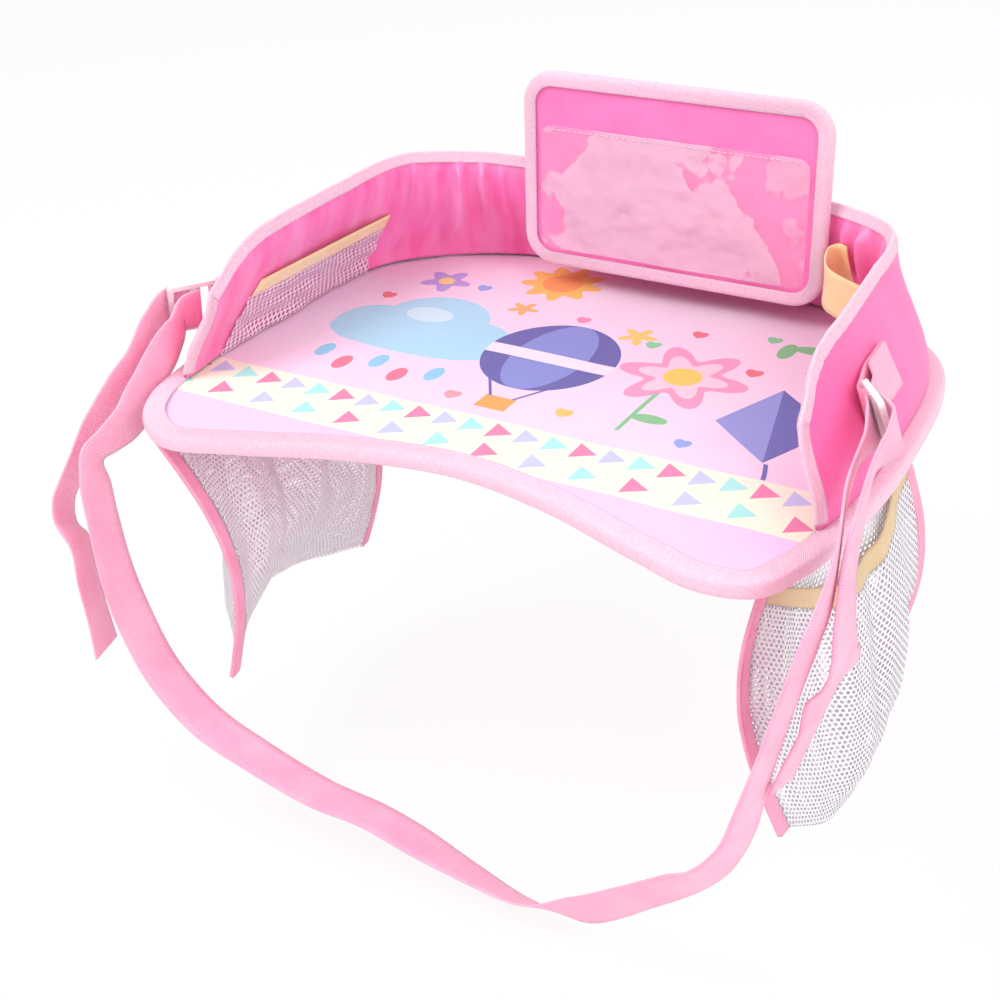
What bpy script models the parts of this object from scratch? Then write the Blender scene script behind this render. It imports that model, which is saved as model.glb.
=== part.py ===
"""A travel tray for a child's car seat, in metres.

+X is the right of someone looking over the tray from the child's side, +Y points away from the
child and +Z up. The origin is the middle of the flat underside, which lies on the lap.
"""

import math

import bpy
import bmesh
import numpy as np
from mathutils import Euler, Matrix, Vector

# Tray board
HALF_WIDTH = 0.208
DEPTH = 0.331
LINING = 0.0010
BOARD = 0.0025
FOAM = 0.0026
PRINT = 0.0010
TAPE_WIDTH = 0.013
TAPE = 0.0010
EDGE_SETBACK = 0.0026
GAP = 0.0003

# The rim from the belly cut-out round the right side, the back and the left side, as shares of HALF_WIDTH and
# DEPTH
RIM_SHARES = (
    (0.0, 0.126), (0.284, 0.097), (0.578, 0.032), (0.748, 0.0), (0.885, 0.020), (0.947, 0.095),
    (0.980, 0.186), (1.0, 0.455), (0.898, 0.809), (0.466, 0.981), (0.0, 1.0), (-0.466, 0.981),
    (-0.898, 0.809), (-1.0, 0.455), (-0.973, 0.186), (-0.944, 0.113), (-0.875, 0.045), (-0.748, 0.003),
    (-0.578, 0.032), (-0.284, 0.097),
)
RIM_STATIONS = 72

# Padded wall
WALL_HEIGHT = 0.0755
WALL_FRONT = 0.061
WALL_COVER = 0.0008
WALL_FOAM = 0.0036
WALL_GAP = 0.0005
WALL_LINING = 0.0008
WALL_INSET = 0.0093
WALL_RAKE = 0.012
# How far inwards the top stands at the sides, at the corners and at the back
SIDE_LEAN = 0.0265
CORNER_LEAN = 0.0195
BACK_LEAN = 0.027
GATHER = 0.0026
GATHERS = 16
PLAIN_EDGE = 0.012
WALL_TAPE = 0.0009
WALL_TAPE_LEG = 0.009
WALL_COLUMNS = 4 * GATHERS
WALL_ROWS = 6
# The flat middle of the back wall, as a share of DEPTH behind the middle of the tray
WALL_BACK_SHARE = 0.4535
WALL_BACK_BLEND = 0.004
# How far along the wall's length its direction is read either way, as a share
WALL_STEP_SHARE = 0.015
# The wall's height along its half length, the same for its leans, then how far up each lean is all reached
HEIGHT_SHARES = (
    (0.0, 0.63), (0.015, 0.72), (0.03, 0.84), (0.05, 0.92), (0.075, 0.955), (0.16, 0.985), (0.27, 1.0),
    (0.36, 0.95), (0.5, 0.95),
)
LEAN_PLACE_SHARES = (0.0, 0.18, 0.27, 0.345, 0.41, 0.5)
LEAN_TOP_SHARES = (1.0, 1.0, 0.9, 0.8, 0.65, 0.65)
LEANS = (SIDE_LEAN, SIDE_LEAN, CORNER_LEAN, CORNER_LEAN, BACK_LEAN, BACK_LEAN)
# The gathers: where they begin and end up the wall and how far from its front edges, as shares
GATHER_LOW_SHARE = 0.02
GATHER_HIGH_SHARE = 0.84
GATHER_END_SHARE = 0.06
GATHER_RISE_SHARE = 0.17
GATHER_RUN_SHARE = 0.05
TAPE_FOOT_SHARE = 0.05
# The heights of the rows of the wall's meshes, close together where its face bends
WALL_ROW_SHARES = (0.0, 0.14, 0.3, 0.5, 0.7, 0.88, 1.0)

# Mesh pocket on the inside of the left wall
INNER_POCKET_FRONT = 0.095
INNER_POCKET_BACK = 0.239
INNER_POCKET_FRONT_SLANT = 0.022
INNER_POCKET_BACK_SLANT = 0.011
INNER_POCKET_HEIGHT = 0.032
INNER_POCKET_BULGE = 0.007
NET = 0.0007
ELASTIC = 0.0012
ELASTIC_WIDTH = 0.009
NET_COLUMNS = 12
NET_ROWS = 5
LOW_BULGE_SHARE = 0.35

# Ribbon loop for a bottle
LOOP_WIDTH = 0.025
RIBBON = 0.0009
LOOP_STAND = 0.0041
# Where the ribbon is sewn on: shares of the wall's length and height for each end of the two seams
LOOP_SEAM_SHARES = (((0.314, 0.640), (0.324, 0.640)), ((0.222, 0.498), (0.211, 0.498)))
# Its route between them as shares of HALF_WIDTH, DEPTH and WALL_HEIGHT
LOOP_SHARES = ((0.574, 0.306, 0.564), (0.612, 0.230, 0.537), (0.721, 0.197, 0.503))

# Tablet holder
HOLDER_WIDTH = 0.1965
HOLDER_HEIGHT = 0.121
HOLDER_CORNER = 0.020
HOLDER_X = 0.0165
HOLDER_Z = 0.0823
HOLDER_LEAN = math.radians(2.2)
HOLDER_TAPE_WIDTH = 0.011
HOLDER_BACK = 0.0008
HOLDER_BOARD = 0.0016
HOLDER_FRONT = 0.0012
WINDOW = 0.0005
WINDOW_DROP = 0.021
STRIP_WIDTH = 0.110
STRIP_HEIGHT = 0.016
STRIP = 0.0023
STRIP_CORNER = 0.001
STRIP_TOP_GAP = 0.011

# Side pockets, which hang unlike each other: each is sewn along a straight line under its side of the tray
POCKET_DROP = {"left": 0.0011, "right": 0.0006}
POCKET_DEPTH = {"left": 0.168, "right": 0.118}
POCKET_SWING = {"left": math.radians(-10), "right": math.radians(-7)}
# Outwards from the hanging plane at mid length: inner net, outer net and hem
POCKET_SWELL = {"left": (0.002, 0.045, 0.030), "right": (0.004, 0.016, 0.006)}
# Inwards at the front and at the rear seam: half way down, and at the hem
POCKET_BOW = {"left": (0.024, 0.030), "right": (0.0165, -0.010)}
POCKET_TUCK = {"left": (0.0, 0.0), "right": (0.0, 0.012)}
POCKET_LAYERS = 0.0026
POCKET_NET = 0.0008
POCKET_FOLD = 0.0030
POCKET_FOLDS = 3
POCKET_COLUMNS = 12
POCKET_ROWS = 24
MOUTH_TOP = {"left": 0.006, "right": 0.001}
MOUTH_SAG = {"left": 0.014, "right": 0.021}
SEAM_TAPE = 0.008
SEAM_TAPE_THICK = 0.0030
SEAM_ROWS = 10
# Front and rear end of each seam as shares of HALF_WIDTH and DEPTH
POCKET_SEAM_SHARES = {
    "left": ((-0.855, -0.430), (-0.952, 0.045)),
    "right": ((0.880, -0.428), (0.955, -0.006)),
}
# The depth at the front as a share of the rear's, and how far the hem's middle rises
FRONT_DEPTH_SHARE = {"left": 0.955, "right": 1.17}
HEM_RISE_SHARE = {"left": 0.07, "right": -0.26}
# How far down the nets swell: share of the depth, then shares of the swell of the inner and of the outer net
SWELL_SHARES = ((0.0, 0.0, 0.0), (0.2, 0.45, 0.45), (0.45, 0.95, 0.90), (0.75, 1.0, 1.0), (1.0, 0.0, 0.0))
# Shares of the net's rows on its inner side and at its fold
INNER_NET_SHARE = 0.458
FOLD_SHARE = 0.084

# Buckles, tabs and the belt
WEBBING = 0.0014
WEBBING_WIDTH = 0.025
BUCKLE_WIDTH = 0.032
BUCKLE_LENGTH = 0.030
BUCKLE_THICK = 0.0032
BUCKLE_BAR = 0.0032
BUCKLE_RAIL = 0.0028
BUCKLE_CORNER = 0.003
STRAP_TURN = 0.0036
LAST_BAR_OFF = 0.0048
TAB_LENGTH = 0.048
TAB_SEWN = 0.025
# From the curved wall to the middle of the inner layer of a tab, which is flat across
TAB_STAND = 0.0034
BELT_DROP = 0.233
TURN_STEPS = 6
STRAP_STEP = 0.012

# The line that the belt swings about, as shares of DEPTH and WALL_HEIGHT
BELT_HINGE_SHARES = (-0.1565, 0.449)
# Each buckle's tab bar as shares of HALF_WIDTH, DEPTH and WALL_HEIGHT, then the ways of its bars and length
BUCKLES = {
    "right": ((0.934, -0.132, 0.496), (0.28, 0.10, -0.95), (0.58, -0.81, 0.05)),
    "left": ((-0.949, -0.179, 0.382), (-0.30, 0.0, -0.95), (-0.60, -0.80, 0.0)),
}
# The belt between the buckles: shares of HALF_WIDTH, DEPTH and BELT_DROP, then the way its edge points
BELT_SHARES = (
    ((0.971, -0.208, 0.206), (0.10, 0.20, -0.97)), ((0.976, -0.250, 0.189), (-0.20, 0.35, -0.90)),
    ((0.981, -0.298, 0.155), (-0.15, 0.30, -0.94)), ((1.000, -0.353, 0.137), (-0.06, 0.20, -0.98)),
    ((1.029, -0.419, 0.116), (-0.06, 0.20, -0.98)), ((1.053, -0.480, 0.099), (-0.08, 0.41, -0.91)),
    ((1.053, -0.516, 0.052), (-0.03, 0.70, -0.71)), ((1.038, -0.540, -0.017), (0.08, 0.96, -0.27)),
    ((1.014, -0.546, -0.112), (0.13, 0.99, -0.07)), ((0.976, -0.546, -0.249), (0.14, 0.99, -0.03)),
    ((0.933, -0.546, -0.408), (0.24, 0.97, -0.06)), ((0.899, -0.546, -0.532), (0.38, 0.91, -0.15)),
    ((0.832, -0.546, -0.644), (0.55, 0.74, -0.39)), ((0.760, -0.546, -0.704), (0.55, 0.54, -0.64)),
    ((0.654, -0.546, -0.781), (0.54, 0.47, -0.70)), ((0.500, -0.546, -0.884), (0.48, 0.37, -0.80)),
    ((0.394, -0.546, -0.923), (0.19, 0.68, -0.71)), ((0.312, -0.546, -0.931), (-0.06, 0.80, -0.59)),
    ((0.154, -0.546, -0.901), (-0.09, 0.92, -0.38)), ((-0.019, -0.546, -0.858), (-0.04, 0.99, -0.15)),
    ((-0.139, -0.546, -0.833), (-0.02, 0.99, -0.15)), ((-0.308, -0.546, -0.824), (-0.01, 1.00, -0.07)),
    ((-0.514, -0.546, -0.777), (0.00, 1.00, 0.00)), ((-0.688, -0.546, -0.717), (0.04, 1.00, 0.06)),
    ((-0.817, -0.546, -0.605), (0.06, 1.00, 0.04)), ((-0.885, -0.546, -0.476), (0.08, 1.00, 0.03)),
    ((-0.923, -0.546, -0.348), (0.01, 1.00, -0.03)), ((-0.947, -0.540, -0.215), (-0.06, 0.99, -0.16)),
    ((-0.981, -0.522, -0.116), (0.03, 0.83, -0.55)), ((-1.010, -0.498, -0.064), (-0.18, 0.71, -0.69)),
    ((-0.990, -0.468, -0.039), (-0.15, 0.50, -0.85)), ((-0.976, -0.431, -0.017), (0.04, 0.36, -0.93)),
    ((-0.983, -0.389, 0.009), (0.22, 0.45, -0.86)), ((-0.992, -0.347, 0.047), (0.06, 0.42, -0.90)),
    ((-0.986, -0.308, 0.092), (0.06, 0.50, -0.86)), ((-0.986, -0.271, 0.128), (-0.14, 0.30, -0.94)),
    ((-0.986, -0.245, 0.161), (-0.27, 0.10, -0.96)),
)
RIGHT_TAIL_SHARES = (
    ((1.040, -0.220, 0.219), (0.18, 0.15, -0.97)), ((1.029, -0.268, 0.206), (-0.21, 0.34, -0.91)),
    ((1.034, -0.317, 0.180), (-0.14, 0.42, -0.90)), ((1.048, -0.383, 0.124), (-0.04, 0.48, -0.87)),
    ((1.067, -0.444, 0.077), (0.03, 0.69, -0.73)), ((1.082, -0.474, 0.004), (0.07, 0.89, -0.45)),
    ((1.096, -0.492, -0.056), (0.13, 0.98, -0.15)), ((1.087, -0.486, -0.107), (0.29, 0.94, 0.15)),
    ((1.043, -0.471, -0.180), (0.30, 0.95, 0.05)), ((1.019, -0.468, -0.270), (0.13, 0.99, -0.03)),
    ((0.990, -0.474, -0.352), (0.14, 0.98, -0.04)), ((0.966, -0.486, -0.429), (0.15, 0.98, -0.04)),
)
LEFT_TAIL_SHARES = (
    ((-1.055, -0.266, 0.156), (-0.25, 0.15, -0.95)), ((-1.052, -0.298, 0.129), (-0.20, 0.45, -0.87)),
    ((-1.048, -0.329, 0.082), (-0.09, 0.72, -0.69)), ((-1.067, -0.365, 0.034), (-0.03, 0.66, -0.75)),
    ((-1.082, -0.401, -0.009), (-0.09, 0.63, -0.77)), ((-1.096, -0.444, -0.052), (-0.28, 0.67, -0.69)),
    ((-1.101, -0.474, -0.103), (-0.27, 0.83, -0.49)), ((-1.120, -0.492, -0.159), (-0.19, 0.90, -0.40)),
    ((-1.135, -0.510, -0.206), (-0.24, 0.85, -0.47)), ((-1.115, -0.528, -0.253), (-0.23, 0.84, -0.49)),
    ((-1.067, -0.534, -0.292), (-0.38, 0.91, -0.18)), ((-1.062, -0.534, -0.395), (-0.34, 0.94, -0.02)),
    ((-1.053, -0.534, -0.494), (-0.34, 0.94, -0.03)), ((-1.043, -0.534, -0.609), (-0.24, 0.97, -0.02)),
)

PRINT_TOP = LINING + BOARD + FOAM + PRINT + 3 * GAP
WALL_THICK = WALL_COVER + WALL_FOAM + WALL_LINING + 2 * WALL_GAP
WALL_Z = PRINT_TOP + TAPE + 2 * GAP
SIDES = {"left": -1, "right": 1}

# Steps of smooth curves: the rim between two of its points, a strap's route, the nets' swell and corners
RIM_STEPS = 24
ROUTE_STEPS = 24
SWELL_STEPS = 8
CORNER_STEPS = 5
SMALL_CORNER_STEPS = 3
TINY_CORNER_STEPS = 2
WALL_READS = 101
TAB_READS = 71
# The part of the wall's length that a tab's place is read on, as a share
TAB_REACH_SHARE = 0.35
# How sharply the hem's swell gathers at the bottom of a pocket
HEM_POWER = 5
SMOOTH_ANGLE = math.radians(40)

COLOURS = {
    "lining": (0.93, 0.42, 0.66, 1.0), "board": (0.86, 0.84, 0.80, 1.0), "foam": (0.95, 0.95, 0.94, 1.0),
    "print": (0.97, 0.72, 0.88, 1.0), "tape": (0.99, 0.76, 0.87, 1.0), "cover": (0.99, 0.33, 0.60, 1.0),
    "satin": (0.99, 0.28, 0.58, 1.0), "net": (0.88, 0.86, 0.91, 1.0), "pink_net": (0.93, 0.55, 0.78, 1.0),
    "elastic": (0.90, 0.72, 0.48, 1.0), "ribbon": (1.0, 0.80, 0.50, 1.0), "webbing": (0.98, 0.45, 0.62, 1.0),
    "buckle": (0.94, 0.94, 0.95, 1.0), "window": (0.98, 0.85, 0.92, 0.35), "strip": (0.96, 0.55, 0.74, 1.0),
}


def clear_scene():
    """Empties the scene, so that the script can run twice."""
    for thing in list(bpy.data.objects):
        bpy.data.objects.remove(thing, do_unlink=True)


def collection(name):
    made = bpy.data.collections.get(name) or bpy.data.collections.new(name)
    if made.name not in bpy.context.scene.collection.children:
        bpy.context.scene.collection.children.link(made)
    return made


def material(name, colour, roughness=0.85, alpha=1.0):
    made = bpy.data.materials.new(name)
    made.use_nodes = True
    shader = made.node_tree.nodes["Principled BSDF"]
    shader.inputs["Base Color"].default_value = COLOURS[colour]
    shader.inputs["Roughness"].default_value = roughness
    shader.inputs["Metallic"].default_value = 0.0
    shader.inputs["Alpha"].default_value = alpha
    return made


def finish(thing, colour, roughness=0.85, alpha=1.0, parent=None):
    """Gives an object its material, its place in the tray's collection and its parent."""
    thing.data.materials.append(material(thing.name, colour, roughness, alpha))
    PARTS.objects.link(thing)
    thing.parent = parent
    return thing


def smooth_through(points, steps, closed=False):
    """A centripetal curve through points, with the same number of steps between each two."""
    pts = np.asarray(points, float)
    count = len(pts)
    spans = count if closed else count - 1
    out = []
    for i in range(spans):
        if closed:
            p0, p1, p2, p3 = (pts[(i + k) % count] for k in (-1, 0, 1, 2))
        else:
            p1, p2 = pts[i], pts[i + 1]
            p0 = pts[i - 1] if i else 2 * p1 - p2
            p3 = pts[i + 2] if i + 2 < count else 2 * p2 - p1
        d1, d2, d3 = (max(np.linalg.norm(b - a), GAP) ** 0.5 for a, b in ((p0, p1), (p1, p2), (p2, p3)))
        m1 = (p1 - p0) / d1 - (p2 - p0) / (d1 + d2) + (p2 - p1) / d2
        m2 = (p2 - p1) / d2 - (p3 - p1) / (d2 + d3) + (p3 - p2) / d3
        t = np.linspace(0.0, 1.0, steps, endpoint=False)[:, None]
        out.append((2 * t**3 - 3 * t**2 + 1) * p1 + (t**3 - 2 * t**2 + t) * d2 * m1
                   + (3 * t**2 - 2 * t**3) * p2 + (t**3 - t**2) * d2 * m2)
    if not closed:
        out.append(pts[-1:])
    return np.concatenate(out)


def along(points, shares):
    """Points at shares of a line's length."""
    steps = np.linalg.norm(np.diff(points, axis=0), axis=1)
    run = np.concatenate([[0.0], np.cumsum(steps)])
    run /= run[-1]
    return np.stack([np.interp(shares, run, points[:, k]) for k in range(points.shape[1])], axis=-1)


def rim_loop(inset):
    """The rim's outline moved inwards, closed and dense, anticlockwise from the belly cut-out."""
    knots = [(x * HALF_WIDTH, (y - 0.5) * DEPTH) for x, y in RIM_SHARES]
    loop = smooth_through(knots, RIM_STEPS, closed=True)
    ahead = np.roll(loop, -1, axis=0) - np.roll(loop, 1, axis=0)
    ahead /= np.linalg.norm(ahead, axis=1)[:, None]
    return loop + inset * np.stack([-ahead[:, 1], ahead[:, 0]], axis=1)


def spaced_loop(inset, count):
    """Evenly spaced points of the rim's outline moved inwards."""
    loop = rim_loop(inset)
    loop = np.concatenate([loop, loop[:1]])
    return along(loop, np.arange(count) / count)


def clamped(value):
    return max(0.0, min(1.0, value))


def wall_path():
    """The outer foot of the wall from its right end round the back to its left end."""
    loop = rim_loop(WALL_INSET)
    start = WALL_FRONT - DEPTH / 2
    first = next(i for i in range(len(loop)) if loop[i, 0] > 0 and loop[i, 1] > start)
    last = max(i for i in range(len(loop)) if loop[i, 0] < 0 and loop[i, 1] > start)
    path = loop[first:last + 1]
    short = (WALL_BACK_SHARE * DEPTH - path[:, 1]) / WALL_BACK_BLEND
    path[:, 1] = WALL_BACK_SHARE * DEPTH - WALL_BACK_BLEND * np.logaddexp(0.0, short)
    return path


WALL_PATH = wall_path()
WALL_LENGTH = float(np.linalg.norm(np.diff(WALL_PATH, axis=0), axis=1).sum())


def wall_point(share, height, depth):
    """A point of the wall: shares of its length and of its height there, and depth in from its outer face."""
    side = min(share, 1.0 - share)
    rake = WALL_RAKE / WALL_LENGTH * height * max(0.0, 1.0 - side / HEIGHT_SHARES[4][0])
    moved = share + rake if share < 0.5 else share - rake
    reads = [moved, moved - WALL_STEP_SHARE, moved + WALL_STEP_SHARE]
    here, back, ahead = along(WALL_PATH, np.clip(reads, 0.0, 1.0))
    run = (ahead - back) / np.linalg.norm(ahead - back)
    inwards = np.array([-run[1], run[0]])
    top = WALL_HEIGHT * np.interp(side, *zip(*HEIGHT_SHARES))
    lean = np.interp(side, LEAN_PLACE_SHARES, LEANS)
    span = np.interp(side, LEAN_PLACE_SHARES, LEAN_TOP_SHARES)
    rise = min(1.0, height / span)
    leant = lean * top / WALL_HEIGHT * rise**2 * (3 - 2 * rise)
    slope = lean / WALL_HEIGHT * 6 * rise * (1 - rise) / span
    level = depth / math.hypot(1.0, slope)
    flat = here + inwards * (leant + level)
    return Vector((flat[0], flat[1], WALL_Z + top * height - level * slope))


def sheet(name, place, across, down, thickness, colour, roughness=0.85, closed=False, alpha=1.0, parent=None):
    """A cloth or tape: a grid laid by place(u, v), given its thickness about its middle."""
    mesh = bpy.data.meshes.new(name)
    bm = bmesh.new()
    bmesh.ops.create_grid(bm, x_segments=across, y_segments=down, size=1.0)
    for vert in bm.verts:
        vert.co = place((vert.co.x + 1) / 2, (vert.co.y + 1) / 2)
    if closed:
        bmesh.ops.remove_doubles(bm, verts=bm.verts, dist=GAP / 10)
    bm.to_mesh(mesh)
    bm.free()
    thing = bpy.data.objects.new(name, mesh)
    solid = thing.modifiers.new("thickness", "SOLIDIFY")
    solid.thickness = thickness
    solid.offset = 0.0
    mesh.shade_smooth()
    mesh.set_sharp_from_angle(angle=SMOOTH_ANGLE)
    return finish(thing, colour, roughness, alpha, parent)


def flat_piece(name, outlines, low, thickness, colour, roughness=0.85, alpha=1.0, parent=None):
    """A flat piece with its outline in XY, or with holes where more outlines follow the first."""
    curve = bpy.data.curves.new(name, "CURVE")
    curve.dimensions = "2D"
    curve.fill_mode = "BOTH"
    curve.extrude = thickness / 2
    for outline in outlines:
        spline = curve.splines.new("POLY")
        spline.points.add(len(outline) - 1)
        for point, (x, y) in zip(spline.points, outline):
            point.co = (x, y, 0.0, 1.0)
        spline.use_cyclic_u = True
    thing = bpy.data.objects.new(name, curve)
    thing.location = (0.0, 0.0, low + thickness / 2)
    return finish(thing, colour, roughness, alpha, parent)


def rounded_rectangle(width, height, corner, steps=CORNER_STEPS):
    """The outline of a rectangle with round corners about the origin."""
    points = []
    for turn, (sx, sy) in enumerate(((1, 1), (-1, 1), (-1, -1), (1, -1))):
        for k in range(steps + 1):
            angle = (turn + k / steps) * math.pi / 2
            points.append((sx * (width / 2 - corner) + corner * math.cos(angle),
                           sy * (height / 2 - corner) + corner * math.sin(angle)))
    return points


def bottom_lining():
    """The cloth on the lap: faces from its front edge to its back edge, side by side between the pockets' seams."""
    edge = spaced_loop(TAPE_WIDTH + GAP, RIM_STATIONS)
    right, left = int(edge[:, 0].argmax()), int(edge[:, 0].argmin())
    back, front = edge[right:left + 1][::-1], np.concatenate([edge[left:], edge[:right + 1]])
    across = np.sort(edge[:, 0])

    def place(u, v):
        x = across[round(u * (len(across) - 1))]
        low, high = (np.interp(x, side[:, 0], side[:, 1]) for side in (front, back))
        return x, low + (high - low) * v, LINING / 2

    sheet("bottom_lining", place, len(across) - 1, 1, LINING, "lining", closed=True)


def tray_layers():
    """The flat layers of the tray, from the lining on the lap to the printed top."""
    edge = spaced_loop(EDGE_SETBACK, RIM_STATIONS)
    z = 0.0
    bottom_lining()
    z += LINING + GAP
    flat_piece("base_board", [edge], z, BOARD, "board", 0.5)
    z += BOARD + GAP
    flat_piece("base_foam", [edge], z, FOAM, "foam")
    z += FOAM + GAP
    flat_piece("print_panel", [edge], z, PRINT, "print", 0.7)


def rim_binding():
    """The tape folded round the tray's edge: a U section carried round the rim."""
    high, low = PRINT_TOP + GAP + TAPE / 2, TAPE / 2
    curl = 2 * TAPE
    section = ((TAPE_WIDTH, high), (TAPE_WIDTH / 2, high), (curl, high - TAPE / 4),
               (TAPE / 2, high - curl + TAPE / 2), (TAPE / 2, low + curl - TAPE / 2), (curl, low + TAPE / 8),
               (TAPE_WIDTH / 2, low), (TAPE_WIDTH, low))
    rings = [spaced_loop(inset, RIM_STATIONS) for inset, _ in section]

    def place(u, v):
        ring = round(v * (len(section) - 1))
        x, y = rings[ring][round(u * RIM_STATIONS) % RIM_STATIONS]
        return x, y, section[ring][1]

    sheet("rim_binding", place, RIM_STATIONS, len(section) - 1, TAPE, "tape", closed=True)


def row(v):
    """The height of a row of the wall's meshes."""
    return WALL_ROW_SHARES[round(v * WALL_ROWS)]


def wall_layers():
    """The wall's cover, its foam and its gathered lining, plain behind the holder and the inner pocket."""
    def plain(depth):
        return lambda u, v: wall_point(u, row(v), depth)

    core = WALL_COVER + WALL_GAP + WALL_FOAM / 2
    sheet("wall_cover", plain(WALL_COVER / 2), WALL_COLUMNS, WALL_ROWS, WALL_COVER, "cover")
    sheet("wall_core", plain(core), WALL_COLUMNS, WALL_ROWS, WALL_FOAM, "foam")
    lining = WALL_COVER + WALL_FOAM + 2 * WALL_GAP + WALL_LINING / 2

    def gathered(u, v):
        v = row(v)
        up = clamped(min(v - GATHER_LOW_SHARE, GATHER_HIGH_SHARE - v) / GATHER_RISE_SHARE)
        ends = clamped((min(u, 1 - u) - GATHER_END_SHARE) / GATHER_RUN_SHARE)
        beside = clamped((abs(u - 0.5) * WALL_LENGTH - HOLDER_WIDTH / 2 - PLAIN_EDGE) / PLAIN_EDGE)
        fold = 0.5 - 0.5 * math.cos(2 * math.pi * GATHERS * u)
        place = wall_point(u, v, lining)
        past = (place.y + DEPTH / 2 - INNER_POCKET_BACK) / PLAIN_EDGE - 1
        behind = 1.0 if place.x > 0 else clamped(past)
        return wall_point(u, v, lining + GATHER * fold * up * ends * beside * behind)

    sheet("wall_lining", gathered, WALL_COLUMNS, WALL_ROWS, WALL_LINING, "satin", 0.45)


def wall_face(share, height, depth):
    """A point of the wall's meshes, which are straight between their rows."""
    height = clamped(height)
    i = min(int(np.searchsorted(WALL_ROW_SHARES, height, side="right")) - 1, WALL_ROWS - 1)
    low, high = WALL_ROW_SHARES[i:i + 2]
    foot, head = (wall_point(share, v, depth) for v in (low, high))
    return foot.lerp(head, (height - low) / (high - low))


def wall_binding():
    """The tape over the wall's raw edge: up one front edge, along the top and down the other."""
    rise = [TAPE_FOOT_SHARE] + list(WALL_ROW_SHARES[1:-1])
    # Each station's shares of length and height, then which way the tape's legs lie from it
    legs = [min(1.0, (1 - v) * WALL_HEIGHT * HEIGHT_SHARES[0][1] / WALL_TAPE_LEG) for v in rise]
    stations = [(0.0, v, leg, 0) for v, leg in zip(rise, legs)] + [(0.0, 1.0, 1, -1)]
    stations += [(k / WALL_COLUMNS, 1.0, 0, -1) for k in range(1, WALL_COLUMNS)]
    stations += [(1.0, 1.0, -1, -1)] + [(1.0, v, -leg, 0) for v, leg in reversed(list(zip(rise, legs)))]
    outer, inner = ([wall_point(s[0], s[1], depth) for s in stations] for depth in (0.0, WALL_THICK))
    off = 2 * GAP + WALL_TAPE / 2
    curl = 2 * WALL_TAPE
    # Which face of the wall, how far off it, then how far beyond the raw edge
    crest = curl - WALL_TAPE / 2
    section = ((-1, off, -WALL_TAPE_LEG), (-1, off, -curl), (-1, off, 0.0), (-1, -WALL_TAPE, crest),
               (1, -WALL_TAPE, crest), (1, off, 0.0), (1, off, -curl), (1, off, -WALL_TAPE_LEG))

    def place(u, v):
        i = round(u * (len(stations) - 1))
        share, height, back, down = stations[i]
        face, stands, beyond_by = section[round(v * (len(section) - 1))]
        leg = max(0.0, -beyond_by)
        top = outer[i].z - WALL_Z if height == 1.0 else WALL_HEIGHT
        depth = WALL_THICK + stands if face > 0 else -stands
        base = wall_face(share + back * leg / WALL_LENGTH, height + down * leg / top, depth)
        way = outer[min(i + 1, len(outer) - 1)] - outer[max(i - 1, 0)]
        beyond = way.cross(inner[i] - outer[i]).normalized()
        return base + beyond * max(0.0, beyond_by)

    sheet("wall_binding", place, len(stations) - 1, len(section) - 1, WALL_TAPE, "tape")


def on_left_wall(along_y, height):
    """The wall's shares of length and height at a distance from the tray's front, a height above its foot."""
    shares = np.linspace(0.5, 1.0, WALL_READS)
    ys = [wall_point(s, 0.0, 0.0).y + DEPTH / 2 for s in shares]
    share = float(np.interp(-along_y, [-y for y in ys], shares))
    top = wall_point(share, 1.0, 0.0).z - WALL_Z
    return share, height / top


def inner_pocket():
    """A net and its elastic on the inside of the left wall, for crayons."""
    def place_at(u, height, bulge):
        rise = height / INNER_POCKET_HEIGHT
        front = INNER_POCKET_FRONT + INNER_POCKET_FRONT_SLANT * rise
        back = INNER_POCKET_BACK + INNER_POCKET_BACK_SLANT * rise
        y = front + u * (back - front)
        share, v = on_left_wall(y, height)
        return wall_point(share, v, WALL_THICK + 2 * GAP + NET + bulge * math.sin(math.pi * u))

    low = PRINT_TOP - WALL_Z + GAP + NET
    net_top = INNER_POCKET_HEIGHT

    def net(u, v):
        height = low + v * (net_top - low)
        return place_at(u, height, INNER_POCKET_BULGE * (LOW_BULGE_SHARE + (1 - LOW_BULGE_SHARE) * v))

    def band(u, v):
        return place_at(u, net_top + GAP + NET + v * ELASTIC_WIDTH, INNER_POCKET_BULGE)

    thing = sheet("inner_pocket_net", net, NET_COLUMNS, NET_ROWS, NET, "pink_net")
    thing.modifiers.remove(thing.modifiers["thickness"])
    cords = thing.modifiers.new("cords", "WIREFRAME")
    cords.thickness = 2 * NET
    cords.use_even_offset = False
    cords.use_boundary = True
    sheet("inner_pocket_elastic", band, NET_COLUMNS, 1, ELASTIC, "elastic")


def ribbon_between(name, stations, width, thickness, colour, parent=None):
    """A flat strap through stations of a point and the way its edge points."""
    line = []
    for (p, a), (q, b) in zip(stations, stations[1:]):
        line.append(max(1, math.ceil((Vector(q) - Vector(p)).length / STRAP_STEP)))
    points = smooth_through([s[0] for s in stations], ROUTE_STEPS)
    edges = smooth_through([s[1] for s in stations], ROUTE_STEPS)
    picks = []
    for span, count in enumerate(line):
        picks += [span * ROUTE_STEPS + round(ROUTE_STEPS * k / count) for k in range(count)]
    picks.append(len(points) - 1)

    def place(u, v):
        i = picks[round(u * (len(picks) - 1))]
        ahead = Vector(points[min(i + 1, len(points) - 1)] - points[max(i - 1, 0)]).normalized()
        edge = Vector(edges[i])
        edge = (edge - edge.dot(ahead) * ahead).normalized()
        return Vector(points[i]) + edge * width * (v - 0.5)

    return sheet(name, place, len(picks) - 1, 1, thickness, colour, parent=parent)


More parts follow.
